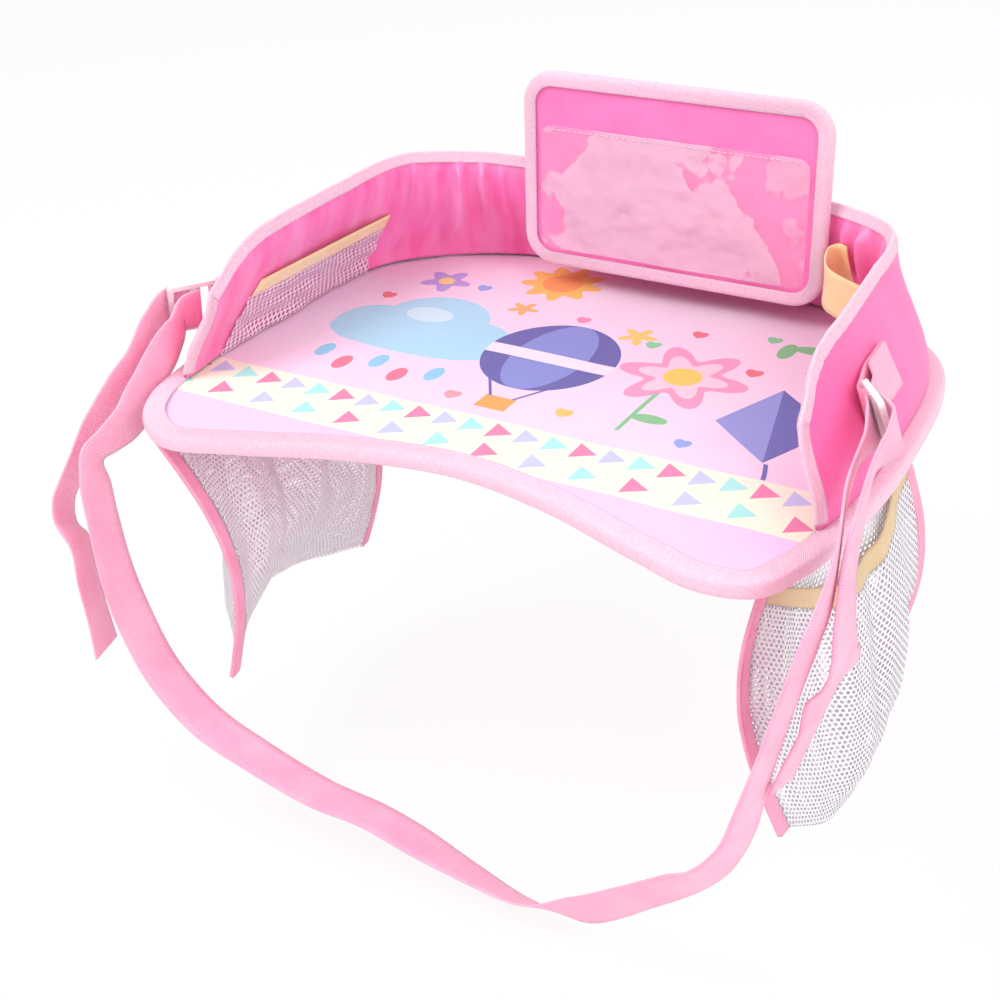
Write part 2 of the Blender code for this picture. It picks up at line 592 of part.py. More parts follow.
def bottle_loop():
    """A ribbon sewn from the back wall to the right wall, which holds a bottle."""
    off = WALL_THICK + GATHER + LOOP_STAND
    half = LOOP_WIDTH / 2 / WALL_HEIGHT
    stations = []
    for seam in LOOP_SEAM_SHARES:
        for share, height in seam:
            low, high = (wall_point(share, height + way * half, off) for way in (-1, 1))
            stations.append((tuple((low + high) / 2), tuple(high - low)))
    free = []
    for x, y, z in LOOP_SHARES:
        free.append(((x * HALF_WIDTH, y * DEPTH, WALL_Z + z * WALL_HEIGHT), (0.0, 0.0, LOOP_WIDTH)))
    ribbon_between("bottle_loop", stations[:2] + free + stations[2:], LOOP_WIDTH, RIBBON, "ribbon")


def strip_centre():
    """Height of the middle of both strips."""
    return WALL_Z + WALL_HEIGHT * HEIGHT_SHARES[-1][1] - STRIP_TOP_GAP - STRIP_HEIGHT / 2


def holder_place():
    """Where the middle of the holder's back is, two strips before the wall, and how it is turned."""
    share = 0.5 - STRIP_WIDTH / 2 / WALL_LENGTH
    wall = wall_point(share, (strip_centre() - WALL_Z) / WALL_HEIGHT / HEIGHT_SHARES[-1][1], WALL_THICK)
    y = wall.y - 2 * STRIP - 4 * GAP - math.tan(HOLDER_LEAN) * (strip_centre() + STRIP_HEIGHT / 2 - HOLDER_Z)
    return Vector((HOLDER_X, y, HOLDER_Z)), Euler((math.pi / 2 - HOLDER_LEAN, 0.0, 0.0))


def holder():
    """The tablet holder, which stands before the back wall on a hook and loop strip."""
    frame = bpy.data.objects.new("holder_frame", None)
    PARTS.objects.link(frame)
    frame.location, frame.rotation_euler = holder_place()
    setback = 2 * TAPE + GAP
    width, height = HOLDER_WIDTH - 2 * setback, HOLDER_HEIGHT - 2 * setback
    inside = rounded_rectangle(width, height, HOLDER_CORNER - setback)
    z = 0.0
    layers = (("holder_back", HOLDER_BACK, "lining"), ("holder_board", HOLDER_BOARD, "board"),
              ("holder_front", HOLDER_FRONT, "cover"))
    for name, thick, colour in layers:
        flat_piece(name, [inside], z, thick, colour, parent=frame)
        z += thick + GAP
    edge = HOLDER_TAPE_WIDTH + GAP
    window_height = HOLDER_HEIGHT - edge - HOLDER_TAPE_WIDTH - WINDOW_DROP
    window = rounded_rectangle(HOLDER_WIDTH - 2 * edge, window_height, HOLDER_CORNER - HOLDER_TAPE_WIDTH)
    window = [(x, y + edge + (window_height - HOLDER_HEIGHT) / 2) for x, y in window]
    flat_piece("holder_window", [window], z, WINDOW, "window", 0.1, COLOURS["window"][3], parent=frame)
    high = z + TAPE / 2
    low = -GAP - TAPE / 2
    curl = 2 * TAPE
    section = ((HOLDER_TAPE_WIDTH, high), (HOLDER_TAPE_WIDTH / 2, high), (curl, high - TAPE / 4),
               (TAPE / 2, high - curl + TAPE / 2), (TAPE / 2, low + curl - TAPE / 2), (curl, low + TAPE / 4),
               (HOLDER_TAPE_WIDTH / 2, low), (HOLDER_TAPE_WIDTH, low))
    rings = [rounded_rectangle(HOLDER_WIDTH - 2 * inset, HOLDER_HEIGHT - 2 * inset, HOLDER_CORNER - inset)
             for inset, _ in section]
    count = len(rings[0])

    def place(u, v):
        ring = round(v * (len(section) - 1))
        x, y = rings[ring][round(u * count) % count]
        return x, y, section[ring][1]

    sheet("holder_binding", place, count, len(section) - 1, TAPE, "tape", closed=True, parent=frame)
    flat_piece("holder_hook_strip", [strip_outline()], -GAP - STRIP, STRIP, "strip", 0.95, parent=frame)


def strip_outline():
    """Both strips' outline on the holder's back, in the middle of the wall."""
    up = (strip_centre() - HOLDER_Z) / math.cos(HOLDER_LEAN)
    outline = rounded_rectangle(STRIP_WIDTH, STRIP_HEIGHT, STRIP_CORNER, TINY_CORNER_STEPS)
    return [(x - HOLDER_X, y + up) for x, y in outline]


def wall_strip():
    """The loop strip on the inside of the back wall, which the holder's hooks grip."""
    place, turn = holder_place()
    thing = flat_piece("wall_loop_strip", [strip_outline()], 0.0, STRIP, "strip", 0.95)
    behind = Matrix.Translation((0.0, 0.0, -2 * GAP - 3 * STRIP / 2))
    thing.matrix_world = Matrix.Translation(place) @ turn.to_matrix().to_4x4() @ behind


def pocket_frame(side):
    """An empty at the middle of a side pocket's seam, its Y along the seam, turned as the pocket hangs."""
    (x0, y0), (x1, y1) = POCKET_SEAM_SHARES[side]
    front = Vector((x0 * HALF_WIDTH, y0 * DEPTH, -POCKET_DROP[side]))
    rear = Vector((x1 * HALF_WIDTH, y1 * DEPTH, -POCKET_DROP[side]))
    run = rear - front
    frame = bpy.data.objects.new(f"pocket_{side}_hinge", None)
    PARTS.objects.link(frame)
    frame.location = (front + rear) / 2
    frame.rotation_euler = (0.0, POCKET_SWING[side], -math.atan2(run.x, run.y))
    return frame, run.length


SWELL_CURVE = smooth_through(SWELL_SHARES, SWELL_STEPS)


def side_pocket(side):
    """A net bag under one side of the tray: one net folded at the bottom, taped at both ends."""
    frame, length = pocket_frame(side)
    inner_swell, outer_swell, hem_swell = POCKET_SWELL[side]

    def hang(t, u, off):
        """A point at a share of the way down and a share of the way back, and a distance outwards."""
        keeps = FRONT_DEPTH_SHARE[side] + (1 - FRONT_DEPTH_SHARE[side]) * u
        depth = POCKET_DEPTH[side] * keeps * (1 - HEM_RISE_SHARE[side] * math.sin(math.pi * u))
        front_bow, rear_bow = POCKET_BOW[side]
        front_tuck, rear_tuck = POCKET_TUCK[side]
        bow = (front_bow + (rear_bow - front_bow) * u) * math.sin(math.pi * t)
        tuck = (front_tuck + (rear_tuck - front_tuck) * u) * t**2
        return SIDES[side] * (off - bow - tuck), (u - 0.5) * length, -t * depth

    def net(t, u, outer):
        """A point of the inner net, or of the outer one, which stands off it."""
        full = math.sin(math.pi * clamped(u))
        inner, other = (np.interp(t, SWELL_CURVE[:, 0], SWELL_CURVE[:, k]) for k in (1, 2))
        fold = POCKET_FOLD * math.sin(2 * math.pi * POCKET_FOLDS * u) * math.sin(math.pi * t)
        swell = (other * outer_swell if outer else inner * inner_swell) + hem_swell * t**HEM_POWER
        return hang(t, u, (POCKET_LAYERS / 2 if outer else -POCKET_LAYERS / 2) + full * swell + fold)

    def mouth(u):
        """How far down the outer net starts, below the elastic."""
        drop = MOUTH_TOP[side] + MOUTH_SAG[side] * math.sin(math.pi * u)
        return (drop + ELASTIC_WIDTH + GAP) / POCKET_DEPTH[side]

    def place(u, v):
        if v < INNER_NET_SHARE:
            return net(v / INNER_NET_SHARE, u, False)
        if v > INNER_NET_SHARE + FOLD_SHARE:
            rise = (v - INNER_NET_SHARE - FOLD_SHARE) / (1 - INNER_NET_SHARE - FOLD_SHARE)
            return net(1 - (1 - mouth(u)) * rise, u, True)
        angle = (v - INNER_NET_SHARE) / FOLD_SHARE * math.pi
        x, y, z = net(1.0, u, False)
        moved = POCKET_LAYERS / 2 * (1 - math.cos(angle))
        return x + SIDES[side] * moved, y, z - POCKET_LAYERS / 2 * math.sin(angle)

    sheet(f"pocket_net_{side}", place, POCKET_COLUMNS, POCKET_ROWS, POCKET_NET, "net", parent=frame)

    def elastic(u, v):
        gap = (GAP + POCKET_NET / 2) / POCKET_DEPTH[side]
        wide = (ELASTIC_WIDTH - POCKET_NET) / POCKET_DEPTH[side]
        return net(max(mouth(u) - gap - (1 - v) * wide, 0.0), u, True)

    sheet(f"pocket_elastic_{side}", elastic, POCKET_COLUMNS, 1, ELASTIC, "elastic", parent=frame)
    for end, name, beyond in ((0.0, "front", -1), (1.0, "rear", 1)):
        def tape(u, v):
            x, y, z = hang(v, end, 0.0)
            down = SEAM_TAPE_THICK / 2 + v * SEAM_TAPE_THICK
            return x, y + beyond * (GAP + POCKET_NET + u * SEAM_TAPE), z - down

        sheet(f"pocket_{name}_tape_{side}", tape, 1, SEAM_ROWS, SEAM_TAPE_THICK, "webbing", parent=frame)


def buckle_places(side):
    """A buckle's tab bar, the way its bars run, the way it reaches out and the way it faces outwards."""
    (x, y, z), bars, reaches = BUCKLES[side]
    bar = Vector((x * HALF_WIDTH, y * DEPTH, WALL_Z + z * WALL_HEIGHT))
    reaches = Vector(reaches).normalized()
    bars = Vector(bars)
    bars = (bars - bars.dot(reaches) * reaches).normalized()
    out = bars.cross(reaches) * (1 if side == "left" else -1)
    return bar, bars, reaches, out


def bar_pitch():
    return (BUCKLE_LENGTH - BUCKLE_BAR) / 2


def hang_from(thing, hinge):
    """Gives a piece its parent without moving it."""
    thing.parent = hinge
    thing.matrix_parent_inverse = Matrix.Translation(-hinge.location)


def buckle(side, hinge):
    """A three-bar slide of clear plastic."""
    bar, bars, reaches, out = buckle_places(side)
    outline = rounded_rectangle(BUCKLE_WIDTH, BUCKLE_LENGTH, BUCKLE_CORNER, SMALL_CORNER_STEPS)
    slot_width = BUCKLE_WIDTH - 2 * BUCKLE_RAIL
    slot_height = bar_pitch() - BUCKLE_BAR
    slots = []
    for way in (-1, 1):
        slot = rounded_rectangle(slot_width, slot_height, BUCKLE_CORNER / 4, TINY_CORNER_STEPS)
        slots.append([(x, y + way * bar_pitch() / 2) for x, y in slot])
    thing = flat_piece(f"buckle_{side}", [outline] + slots, -BUCKLE_THICK / 2, BUCKLE_THICK, "buckle", 0.3)
    centre = bar + reaches * bar_pitch()
    turned = Matrix((bars, reaches, bars.cross(reaches))).transposed().to_4x4()
    thing.matrix_world = Matrix.Translation(centre) @ turned
    hang_from(thing, hinge)


def turn_round(centre, start, towards):
    """Points of a half turn round a bar that starts on one side of it and passes on another."""
    angles = [math.pi * k / TURN_STEPS for k in range(TURN_STEPS + 1)]
    return [centre + STRAP_TURN * (math.cos(a) * start + math.sin(a) * towards) for a in angles]


def belt_hinge():
    """An empty on the line through both tabs, about which the belt and its buckles swing."""
    y, z = BELT_HINGE_SHARES
    hinge = bpy.data.objects.new("belt_hinge", None)
    PARTS.objects.link(hinge)
    hinge.location = (0.0, y * DEPTH, WALL_Z + z * WALL_HEIGHT)
    return hinge


def belt_place(shares):
    x, y, z = shares
    return x * HALF_WIDTH, y * DEPTH, z * BELT_DROP


def threaded(side):
    """The webbing's way from the tray's side of a buckle round its middle bar and out over its last bar."""
    bar, bars, reaches, out = buckle_places(side)
    middle = bar + reaches * bar_pitch()
    points = turn_round(middle, -out, -reaches)
    points.append(middle + reaches * bar_pitch() + out * LAST_BAR_OFF)
    return [(tuple(p), tuple(bars)) for p in points]


def belt(hinge):
    """One length of webbing from the right tail, through both buckles, to the left tail."""
    stations = [(belt_place(place), edge) for place, edge in reversed(RIGHT_TAIL_SHARES)]
    stations += threaded("right")[::-1]
    stations += [(belt_place(place), edge) for place, edge in BELT_SHARES]
    stations += threaded("left")
    stations += [(belt_place(place), edge) for place, edge in LEFT_TAIL_SHARES]
    webbing = ribbon_between("belt_webbing", stations, WEBBING_WIDTH, WEBBING, "webbing")
    hang_from(webbing, hinge)


def on_wall(side, along_y, height, outwards):
    """A place on the outside of a side wall, and the way up the wall there."""
    shares = np.linspace(0.0, TAB_REACH_SHARE, TAB_READS)
    if side == "left":
        shares = 1 - shares
    share = float(np.interp(along_y, [wall_point(s, 0.0, 0.0).y for s in shares], shares))
    top = wall_point(share, 1.0, 0.0).z - WALL_Z
    low, high = (wall_point(share, (height + way * WEBBING_WIDTH / 2) / top, -outwards) for way in (-1, 1))
    return (low + high) / 2, (high - low).normalized()


def buckle_tab(side):
    """The doubled webbing tab that carries a buckle: sewn on the wall, with the tab bar in its fold."""
    bar, bars, reaches, out = buckle_places(side)
    height = bar.z - WALL_Z
    layers = (TAB_STAND, TAB_STAND + WEBBING + GAP)
    strands = []
    for outwards in layers:
        strand = []
        for back in (TAB_LENGTH, TAB_LENGTH - TAB_SEWN / 2, TAB_LENGTH - TAB_SEWN):
            place, up = on_wall(side, bar.y + back, height, outwards)
            strand.append((tuple(place), tuple(-up)))
        strands.append(strand)
    back = (Vector(strands[0][-1][0]) - bar).normalized() * 2 * STRAP_TURN
    points = turn_round(bar, -out, reaches)
    points = [points[0] + back] + points + [points[-1] + back]
    stations = strands[0] + [(tuple(p), tuple(bars)) for p in points] + strands[1][::-1]
    ribbon_between(f"buckle_tab_{side}", stations, WEBBING_WIDTH, WEBBING, "webbing")


def main():
    tray_layers()
    rim_binding()
    wall_layers()
    wall_binding()
    inner_pocket()
    bottle_loop()
    wall_strip()
    holder()
    hinge = belt_hinge()
    for side in SIDES:
        side_pocket(side)
        buckle_tab(side)
        buckle(side, hinge)
    belt(hinge)


clear_scene()
PARTS = collection("car_seat_tray")
main()
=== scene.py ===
"""Looks of a travel tray for a child's car seat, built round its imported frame."""

from __future__ import annotations

import logging
import math
from dataclasses import dataclass, field
from enum import Enum
from functools import cache
from typing import Callable, Sequence

import bpy
import numpy as np
from mathutils import Matrix

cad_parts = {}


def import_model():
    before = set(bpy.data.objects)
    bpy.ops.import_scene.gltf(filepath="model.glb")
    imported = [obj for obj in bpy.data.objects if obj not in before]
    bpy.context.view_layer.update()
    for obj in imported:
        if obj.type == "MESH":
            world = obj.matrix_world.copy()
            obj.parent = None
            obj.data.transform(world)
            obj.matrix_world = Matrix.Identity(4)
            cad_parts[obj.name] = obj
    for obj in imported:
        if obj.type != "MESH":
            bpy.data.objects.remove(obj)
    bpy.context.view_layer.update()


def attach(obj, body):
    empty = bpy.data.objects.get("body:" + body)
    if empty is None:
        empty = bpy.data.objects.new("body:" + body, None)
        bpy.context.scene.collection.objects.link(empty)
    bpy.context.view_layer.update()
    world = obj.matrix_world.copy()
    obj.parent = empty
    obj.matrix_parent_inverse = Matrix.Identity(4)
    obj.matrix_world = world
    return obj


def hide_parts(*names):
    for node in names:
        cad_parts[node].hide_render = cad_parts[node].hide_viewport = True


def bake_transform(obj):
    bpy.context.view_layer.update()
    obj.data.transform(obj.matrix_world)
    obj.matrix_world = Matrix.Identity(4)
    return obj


logging.basicConfig(level=logging.INFO, format="%(message)s")
LOG = logging.getLogger("travel_tray")
Array = np.ndarray
Colour = tuple[float, float, float]
TAU = 2 * math.pi
SEAM_INSET = 0.0018  # From a tape's inner edge to its seam
STITCH_RISE = 0.0013  # How far stitches lie over the face under a tape
NET_THICK = 0.0004
ELASTIC_THICK = 0.0012
STRAP_SHARE = 0.93  # Visible webbing is a little thinner than its solid


def pigment(code: str) -> Colour:
    """Linear colour of a screen colour written as six hexadecimal digits."""
    parts = (int(code[i:i + 2], 16) / 255 for i in (0, 2, 4))
    return tuple(c / 12.92 if c <= 0.04045 else ((c + 0.055) / 1.055) ** 2.4 for c in parts)


# ---- numbers and surfaces


def clamped(value: Array) -> Array:
    """Values held between 0 and 1."""
    return np.clip(value, 0.0, 1.0)


def unit(vectors: Array) -> Array:
    """Vectors divided by their lengths."""
    return vectors / np.maximum(np.linalg.norm(vectors, axis=-1, keepdims=True), 1e-12)


def curve_through(points: Sequence, steps: int, closed: bool = False) -> Array:
    """Centripetal cubic through points: each span is a Hermite blend of its ends and of tangents that come
    from the neighbours, weighted by the square roots of the distances.

    Args:
        points: The points to pass through.
        steps: Steps in each span.
        closed: Whether the last point joins the first.

    Returns:
        The points of the curve, one row each.
    """
    pts = np.asarray(points, float)
    if closed:
        p0, p1, p2, p3 = (np.roll(pts, -k, axis=0) for k in (-1, 0, 1, 2))
    else:
        more = np.concatenate([2 * pts[:1] - pts[1:2], pts, 2 * pts[-1:] - pts[-2:-1]])
        p0, p1, p2, p3 = more[:-3], more[1:-2], more[2:-1], more[3:]
    d1, d2, d3 = (np.maximum(np.linalg.norm(b - a, axis=1), 3e-4)[:, None] ** 0.5
                  for a, b in ((p0, p1), (p1, p2), (p2, p3)))
    m1 = (p1 - p0) / d1 - (p2 - p0) / (d1 + d2) + (p2 - p1) / d2
    m2 = (p2 - p1) / d2 - (p3 - p1) / (d2 + d3) + (p3 - p2) / d3
    t = np.linspace(0.0, 1.0, steps, endpoint=False)[None, :, None]
    p1, p2, m1, m2 = (a[:, None, :] for a in (p1, p2, m1 * d2, m2 * d2))
    curve = ((2 * t**3 - 3 * t**2 + 1) * p1 + (t**3 - 2 * t**2 + t) * m1
             + (3 * t**2 - 2 * t**3) * p2 + (t**3 - t**2) * m2).reshape(-1, pts.shape[1])
    return curve if closed else np.concatenate([curve, pts[-1:]])


def along(points: Array, shares: Array) -> Array:
    """Points at shares of a line's length, by linear interpolation."""
    run = np.concatenate([[0.0], np.cumsum(np.linalg.norm(np.diff(points, axis=0), axis=1))])
    return np.stack([np.interp(shares, run / run[-1], points[:, k]) for k in range(points.shape[1])], axis=-1)


def facing(points: Array) -> Array:
    """Unit normals of a grid: the cross product of its two directions."""
    return unit(np.cross(np.gradient(points, axis=1), np.gradient(points, axis=0)))


def ripple(points: Array, wave: float, seed: int, stretch: Colour = (1.0, 1.0, 1.0)) -> Array:
    """Soft noise between about -1 and 1: the mean of eight plane waves of random heading and phase.

    Args:
        points: The places to read.
        wave: Middle wavelength in metres.
        seed: Which noise.
        stretch: How much longer the waves are along each axis.

    Returns:
        One value for each place.
    """
    dice = np.random.default_rng(seed)
    ways = unit(dice.normal(size=(8, 3))) / (wave * dice.uniform(0.6, 1.6, size=(8, 1))) / np.array(stretch)
    return np.sin(TAU * (points @ ways.T) + dice.uniform(0, TAU, 8)).mean(axis=-1) * 2.0


def run_lengths(points: Array, wrap: bool) -> Array:
    """Texture coordinates in metres: mean distances gone along a grid's columns and rows."""
    ring = np.concatenate([points, points[:, :1]], axis=1) if wrap else points
    across = np.linalg.norm(np.diff(ring, axis=1), axis=-1).mean(axis=0)
    down = np.linalg.norm(np.diff(ring, axis=0), axis=-1).mean(axis=1)
    u, v = (np.concatenate([[0.0], np.cumsum(steps)]) for steps in (across, down))
    return np.stack(np.broadcast_arrays(u[None, :], v[:, None]), axis=-1)


def surface(name: str, points: Array, thick: float = 0.0, wrap: bool = False) -> bpy.types.Object:
    """A mesh of quads from a grid of points.

    Args:
        name: The piece's name.
        points: Rows by columns by 3.
        thick: Thickness given about the middle, where it is a cloth.
        wrap: Whether the last column joins the first.

    Returns:
        The new object, with its places in its mesh and texture coordinates in metres.
    """
    rows, cols = points.shape[:2]
    spans = cols if wrap else cols - 1
    r, c = (a.ravel() for a in np.meshgrid(np.arange(rows - 1), np.arange(spans), indexing="ij"))
    corners = np.stack([np.stack([r, c]), np.stack([r, c + 1]), np.stack([r + 1, c + 1]), np.stack([r + 1, c])])
    index = corners[:, 0] * cols + corners[:, 1] % cols
    mesh = bpy.data.meshes.new(name)
    mesh.vertices.add(rows * cols)
    mesh.vertices.foreach_set("co", points.reshape(-1))
    mesh.loops.add(index.size)
    mesh.loops.foreach_set("vertex_index", index.T.reshape(-1))
    mesh.polygons.add(index.shape[1])
    mesh.polygons.foreach_set("loop_start", np.arange(0, index.size, 4))
    lengths = run_lengths(points, wrap)
    uv = mesh.uv_layers.new(name="cloth")
    uv.data.foreach_set("uv", lengths[corners[:, 0], corners[:, 1]].transpose(1, 0, 2).reshape(-1))
    mesh.update()
    mesh.validate()
    mesh.shade_smooth()
    made = bpy.data.objects.new(name, mesh)
    bpy.context.scene.collection.objects.link(made)
    if thick:
        solid = made.modifiers.new("thickness", "SOLIDIFY")
        solid.thickness = thick
        solid.offset = 0.0
    return made


def carried(loop: Callable[[float, int], Array], section: Array, count: int) -> Array:
    """A section carried round an outline.

    Args:
        loop: The outline, by how far it is moved inwards and how many points it has.
        section: Insets and heights.
        count: Points round the outline.

    Returns:
        A grid with a row for each point of the section.
    """
    rings = np.stack([loop(inset, count) for inset, _ in section])
    heights = np.broadcast_to(section[:, 1:], (len(section), count))
    return np.concatenate([rings, heights[..., None]], axis=-1)


def closed_seam(loop: Callable[[float, int], Array], inset: float, count: int, height: float) -> Array:
    """A closed line inside an outline, at one height."""
    line = loop(inset, count)
    line = np.concatenate([line, line[:1]])
    return np.column_stack([line, np.full(len(line), height)])


def ribbon(name: str, middle: Array, edge: Array, width: float, thick: float, columns: int = 7,
           cup: float = 0.0) -> bpy.types.Object:
    """A flat strap: at each point of a line a straight section along the edge's direction, made square to the
    line, and cupped by a parabola.

    Args:
        name: The piece's name.
        middle: The line.
        edge: The way across it at each point.
        width: Width of the strap.
        thick: Its thickness.
        columns: Points across.
        cup: How far its edges stand off its middle.

    Returns:
        The strap.
    """
    ahead = unit(np.gradient(middle, axis=0))
    across = unit(edge - (edge * ahead).sum(axis=1, keepdims=True) * ahead)
    out = np.cross(ahead, across)
    v = np.linspace(-0.5, 0.5, columns)[:, None, None]
    points = middle[None] + across[None] * width * v + out[None] * cup * (4 * v**2 - 0.33)
    return surface(name, points, thick)


def stitches(name: str, line: Array, out: Array, pitch: float = 0.0036, length: float = 0.0027,
             radius: float = 0.00032) -> bpy.types.Object:
    """A run of sewing stitches: six-sided bars along a line, thin at both ends, which dip into the cloth.

    Args:
        name: The piece's name.
        line: The seam.
        out: The way out of the cloth at each of its points.
        pitch: From one stitch to the next.
        length: Length of a stitch.
        radius: Half its thickness.

    Returns:
        One mesh of all the stitches.
    """
    whole = np.linalg.norm(np.diff(line, axis=0), axis=1).sum()
    count = max(2, int(whole / pitch))
    shares = (np.arange(count) + 0.5) / count
    centre = along(line, shares)
    ahead = unit(along(line, clamped(shares + 0.2 / count)) - along(line, clamped(shares - 0.2 / count)))
    up = along(np.concatenate([line, out], axis=1), shares)[:, 3:]
    up = unit(up - (up * ahead).sum(axis=1, keepdims=True) * ahead)
    side = np.cross(ahead, up)
    t = np.array([-0.5, -0.34, 0.0, 0.34, 0.5])
    slim = np.array([0.35, 0.9, 1.0, 0.9, 0.35]) * radius
    turn = np.arange(6) / 6 * TAU
    ring = (np.cos(turn)[None, :, None] * up[:, None, None] + np.sin(turn)[None, :, None] * side[:, None, None])
    points = (centre[:, None, None] + ahead[:, None, None] * (t * length)[None, :, None, None]
              - up[:, None, None] * (np.abs(t) ** 2 * 4 * radius)[None, :, None, None]
              + ring * slim[None, :, None, None])
    base = (np.arange(count) * 30)[:, None, None]
    r, k = np.arange(4)[None, :, None], np.arange(6)[None, None, :]
    quads = np.stack([base + r * 6 + k, base + (r + 1) * 6 + k, base + (r + 1) * 6 + (k + 1) % 6,
                      base + r * 6 + (k + 1) % 6], axis=-1).reshape(-1, 4)
    low = base[:, :, 0] + np.arange(6)[None, :]
    high = base[:, :, 0] + 24 + np.arange(5, -1, -1)[None, :]
    mesh = bpy.data.meshes.new(name)
    mesh.from_pydata(points.reshape(-1, 3).tolist(), [], quads.tolist() + low.tolist() + high.tolist())
    mesh.update()
    mesh.shade_smooth()
    made = bpy.data.objects.new(name, mesh)
    bpy.context.scene.collection.objects.link(made)
    return made


# ---- shader expressions


class Value:
    """A shader socket that takes Python's operators: each adds a Math node."""

    def __init__(self, paint: "Paint", socket: bpy.types.NodeSocket) -> None:
        """Wraps a socket of a paint's tree."""
        self.paint = paint
        self.socket = socket

    def math(self, operation: str, *others: "Value | float", first: "Value | float | None" = None) -> "Value":
        """One Math node of this value and others, or of first and this value."""
        terms = [self, *others] if first is None else [first, self]
        made = self.paint.node("ShaderNodeMath", {"operation": operation}, dict(enumerate(terms)))
        return Value(self.paint, made)

    def __add__(self, other: "Value | float") -> "Value":
        """Sum."""
        return self.math("ADD", other)

    def __sub__(self, other: "Value | float") -> "Value":
        """Difference."""
        return self.math("SUBTRACT", other)

    def __rsub__(self, other: float) -> "Value":
        """Reflected difference."""
        return self.math("SUBTRACT", first=other)

    def __mul__(self, other: "Value | float") -> "Value":
        """Product."""
        return self.math("MULTIPLY", other)

    def __truediv__(self, other: "Value | float") -> "Value":
        """Quotient."""
        return self.math("DIVIDE", other)

    def __pow__(self, other: float) -> "Value":
        """Power."""
        return self.math("POWER", other)

    def __lt__(self, other: "Value | float") -> "Value":
        """1 where this is less."""
        return self.math("LESS_THAN", other)

    def __gt__(self, other: "Value | float") -> "Value":
        """1 where this is more."""
        return self.math("GREATER_THAN", other)

    def __abs__(self) -> "Value":
        """Size without sign."""
        return self.math("ABSOLUTE")

    __radd__ = __add__
    __rmul__ = __mul__

    def fract(self) -> "Value":
        """What is left over a whole number."""
        return self.math("FRACT")

    def wave(self) -> "Value":
        """Cosine of a number of turns."""
        return (self * TAU).math("COSINE")

    def steps(self, low: float, high: float) -> "Value":
        """0 below low, 1 above high and even between."""
        inputs = {0: self, 1: low, 2: high}
        return Value(self.paint, self.paint.node("ShaderNodeMapRange", {}, inputs))


class Paint:
    """A node material with one Principled shader."""

    def __init__(self, name: str, **sockets: float | Colour) -> None:
        """Makes the material and sets the shader's own sockets.

        Args:
            name: The finish's name.
            sockets: Values of the shader's sockets, their names with _ for spaces.
        """
        self.material = bpy.data.materials.new(name)
        self.material.use_nodes = True
        self.tree = self.material.node_tree
        self.shader = self.tree.nodes["Principled BSDF"]
        for key, value in sockets.items():
            socket = self.shader.inputs[key.replace("_", " ")]
            socket.default_value = (*value, 1.0) if isinstance(value, tuple) else value

    def node(self, kind: str, settings: dict, inputs: dict, output: int | str = 0) -> bpy.types.NodeSocket:
        """Adds a node.

        Args:
            kind: The node's type.
            settings: Its settings, set first.
            inputs: Values or links of its sockets, by name or number.
            output: Which output to give back.

        Returns:
            That output.
        """
        made = self.tree.nodes.new(kind)
        for key, value in settings.items():
            setattr(made, key, value)
        for key, value in inputs.items():
            socket = made.inputs[key]
            if isinstance(value, Value):
                value = value.socket
            if isinstance(value, bpy.types.NodeSocket):
                self.tree.links.new(value, socket)
            elif isinstance(value, tuple) and len(socket.default_value) == 4:
                socket.default_value = (*value, 1.0)
            else:
                socket.default_value = value
        return made.outputs[output]

    def place(self) -> bpy.types.NodeSocket:
        """The place on the object."""
        return self.node("ShaderNodeTexCoord", {}, {}, "Object")

    def cloth(self) -> bpy.types.NodeSocket:
        """The place on the flat cloth, in metres."""
        return self.node("ShaderNodeUVMap", {"uv_map": "cloth"}, {})

    def parts(self, vector: bpy.types.NodeSocket) -> list[Value]:
        """The three parts of a vector."""
        split = self.node("ShaderNodeSeparateXYZ", {}, {0: vector}).node
        return [Value(self, out) for out in split.outputs]

    def noise(self, vector: bpy.types.NodeSocket, scale: float, detail: float = 2.0) -> Value:
        """Noise from 0 to 1 with a number of lumps in a metre."""
        inputs = {"Vector": vector, "Scale": scale, "Detail": detail}
        return Value(self, self.node("ShaderNodeTexNoise", {}, inputs))

    def vector(self, operation: str, first: object, second: Colour, output: int | str = 0) -> bpy.types.NodeSocket:
        """One Vector Math node of a vector and three numbers."""
        return self.node("ShaderNodeVectorMath", {"operation": operation}, {0: first, 1: second}, output)

    def mix(self, mask: Value | float, under: object, over: object) -> bpy.types.NodeSocket:
        """One colour over another where a mask is 1."""
        return self.node("ShaderNodeMix", {"data_type": "RGBA"}, {0: mask, 6: under, 7: over}, 2)

    def feed(self, name: str, value: object) -> None:
        """Links a value to one of the shader's sockets."""
        self.tree.links.new(value.socket if isinstance(value, Value) else value, self.shader.inputs[name])

    def tint(self, mask: Value, code: str, shade: float) -> None:
        """Gives the shader a colour, darker by a factor where a mask is 0."""
        pale = pigment(code)
        self.feed("Base Color", self.mix(mask, tuple(c * shade for c in pale), pale))

    def bump(self, height: Value, distance: float) -> None:
        """Gives the shader a height in distances of metres."""
        inputs = {"Height": height, "Distance": distance, "Strength": 1.0}
        self.feed("Normal", self.node("ShaderNodeBump", {}, inputs))


class Weave(Enum):
    """How a cloth's threads lie."""

    RIBS = "fine ribs across"
    CANVAS = "plain square weave"
    TWILL = "slanting ribs"
    NAP = "short pile"


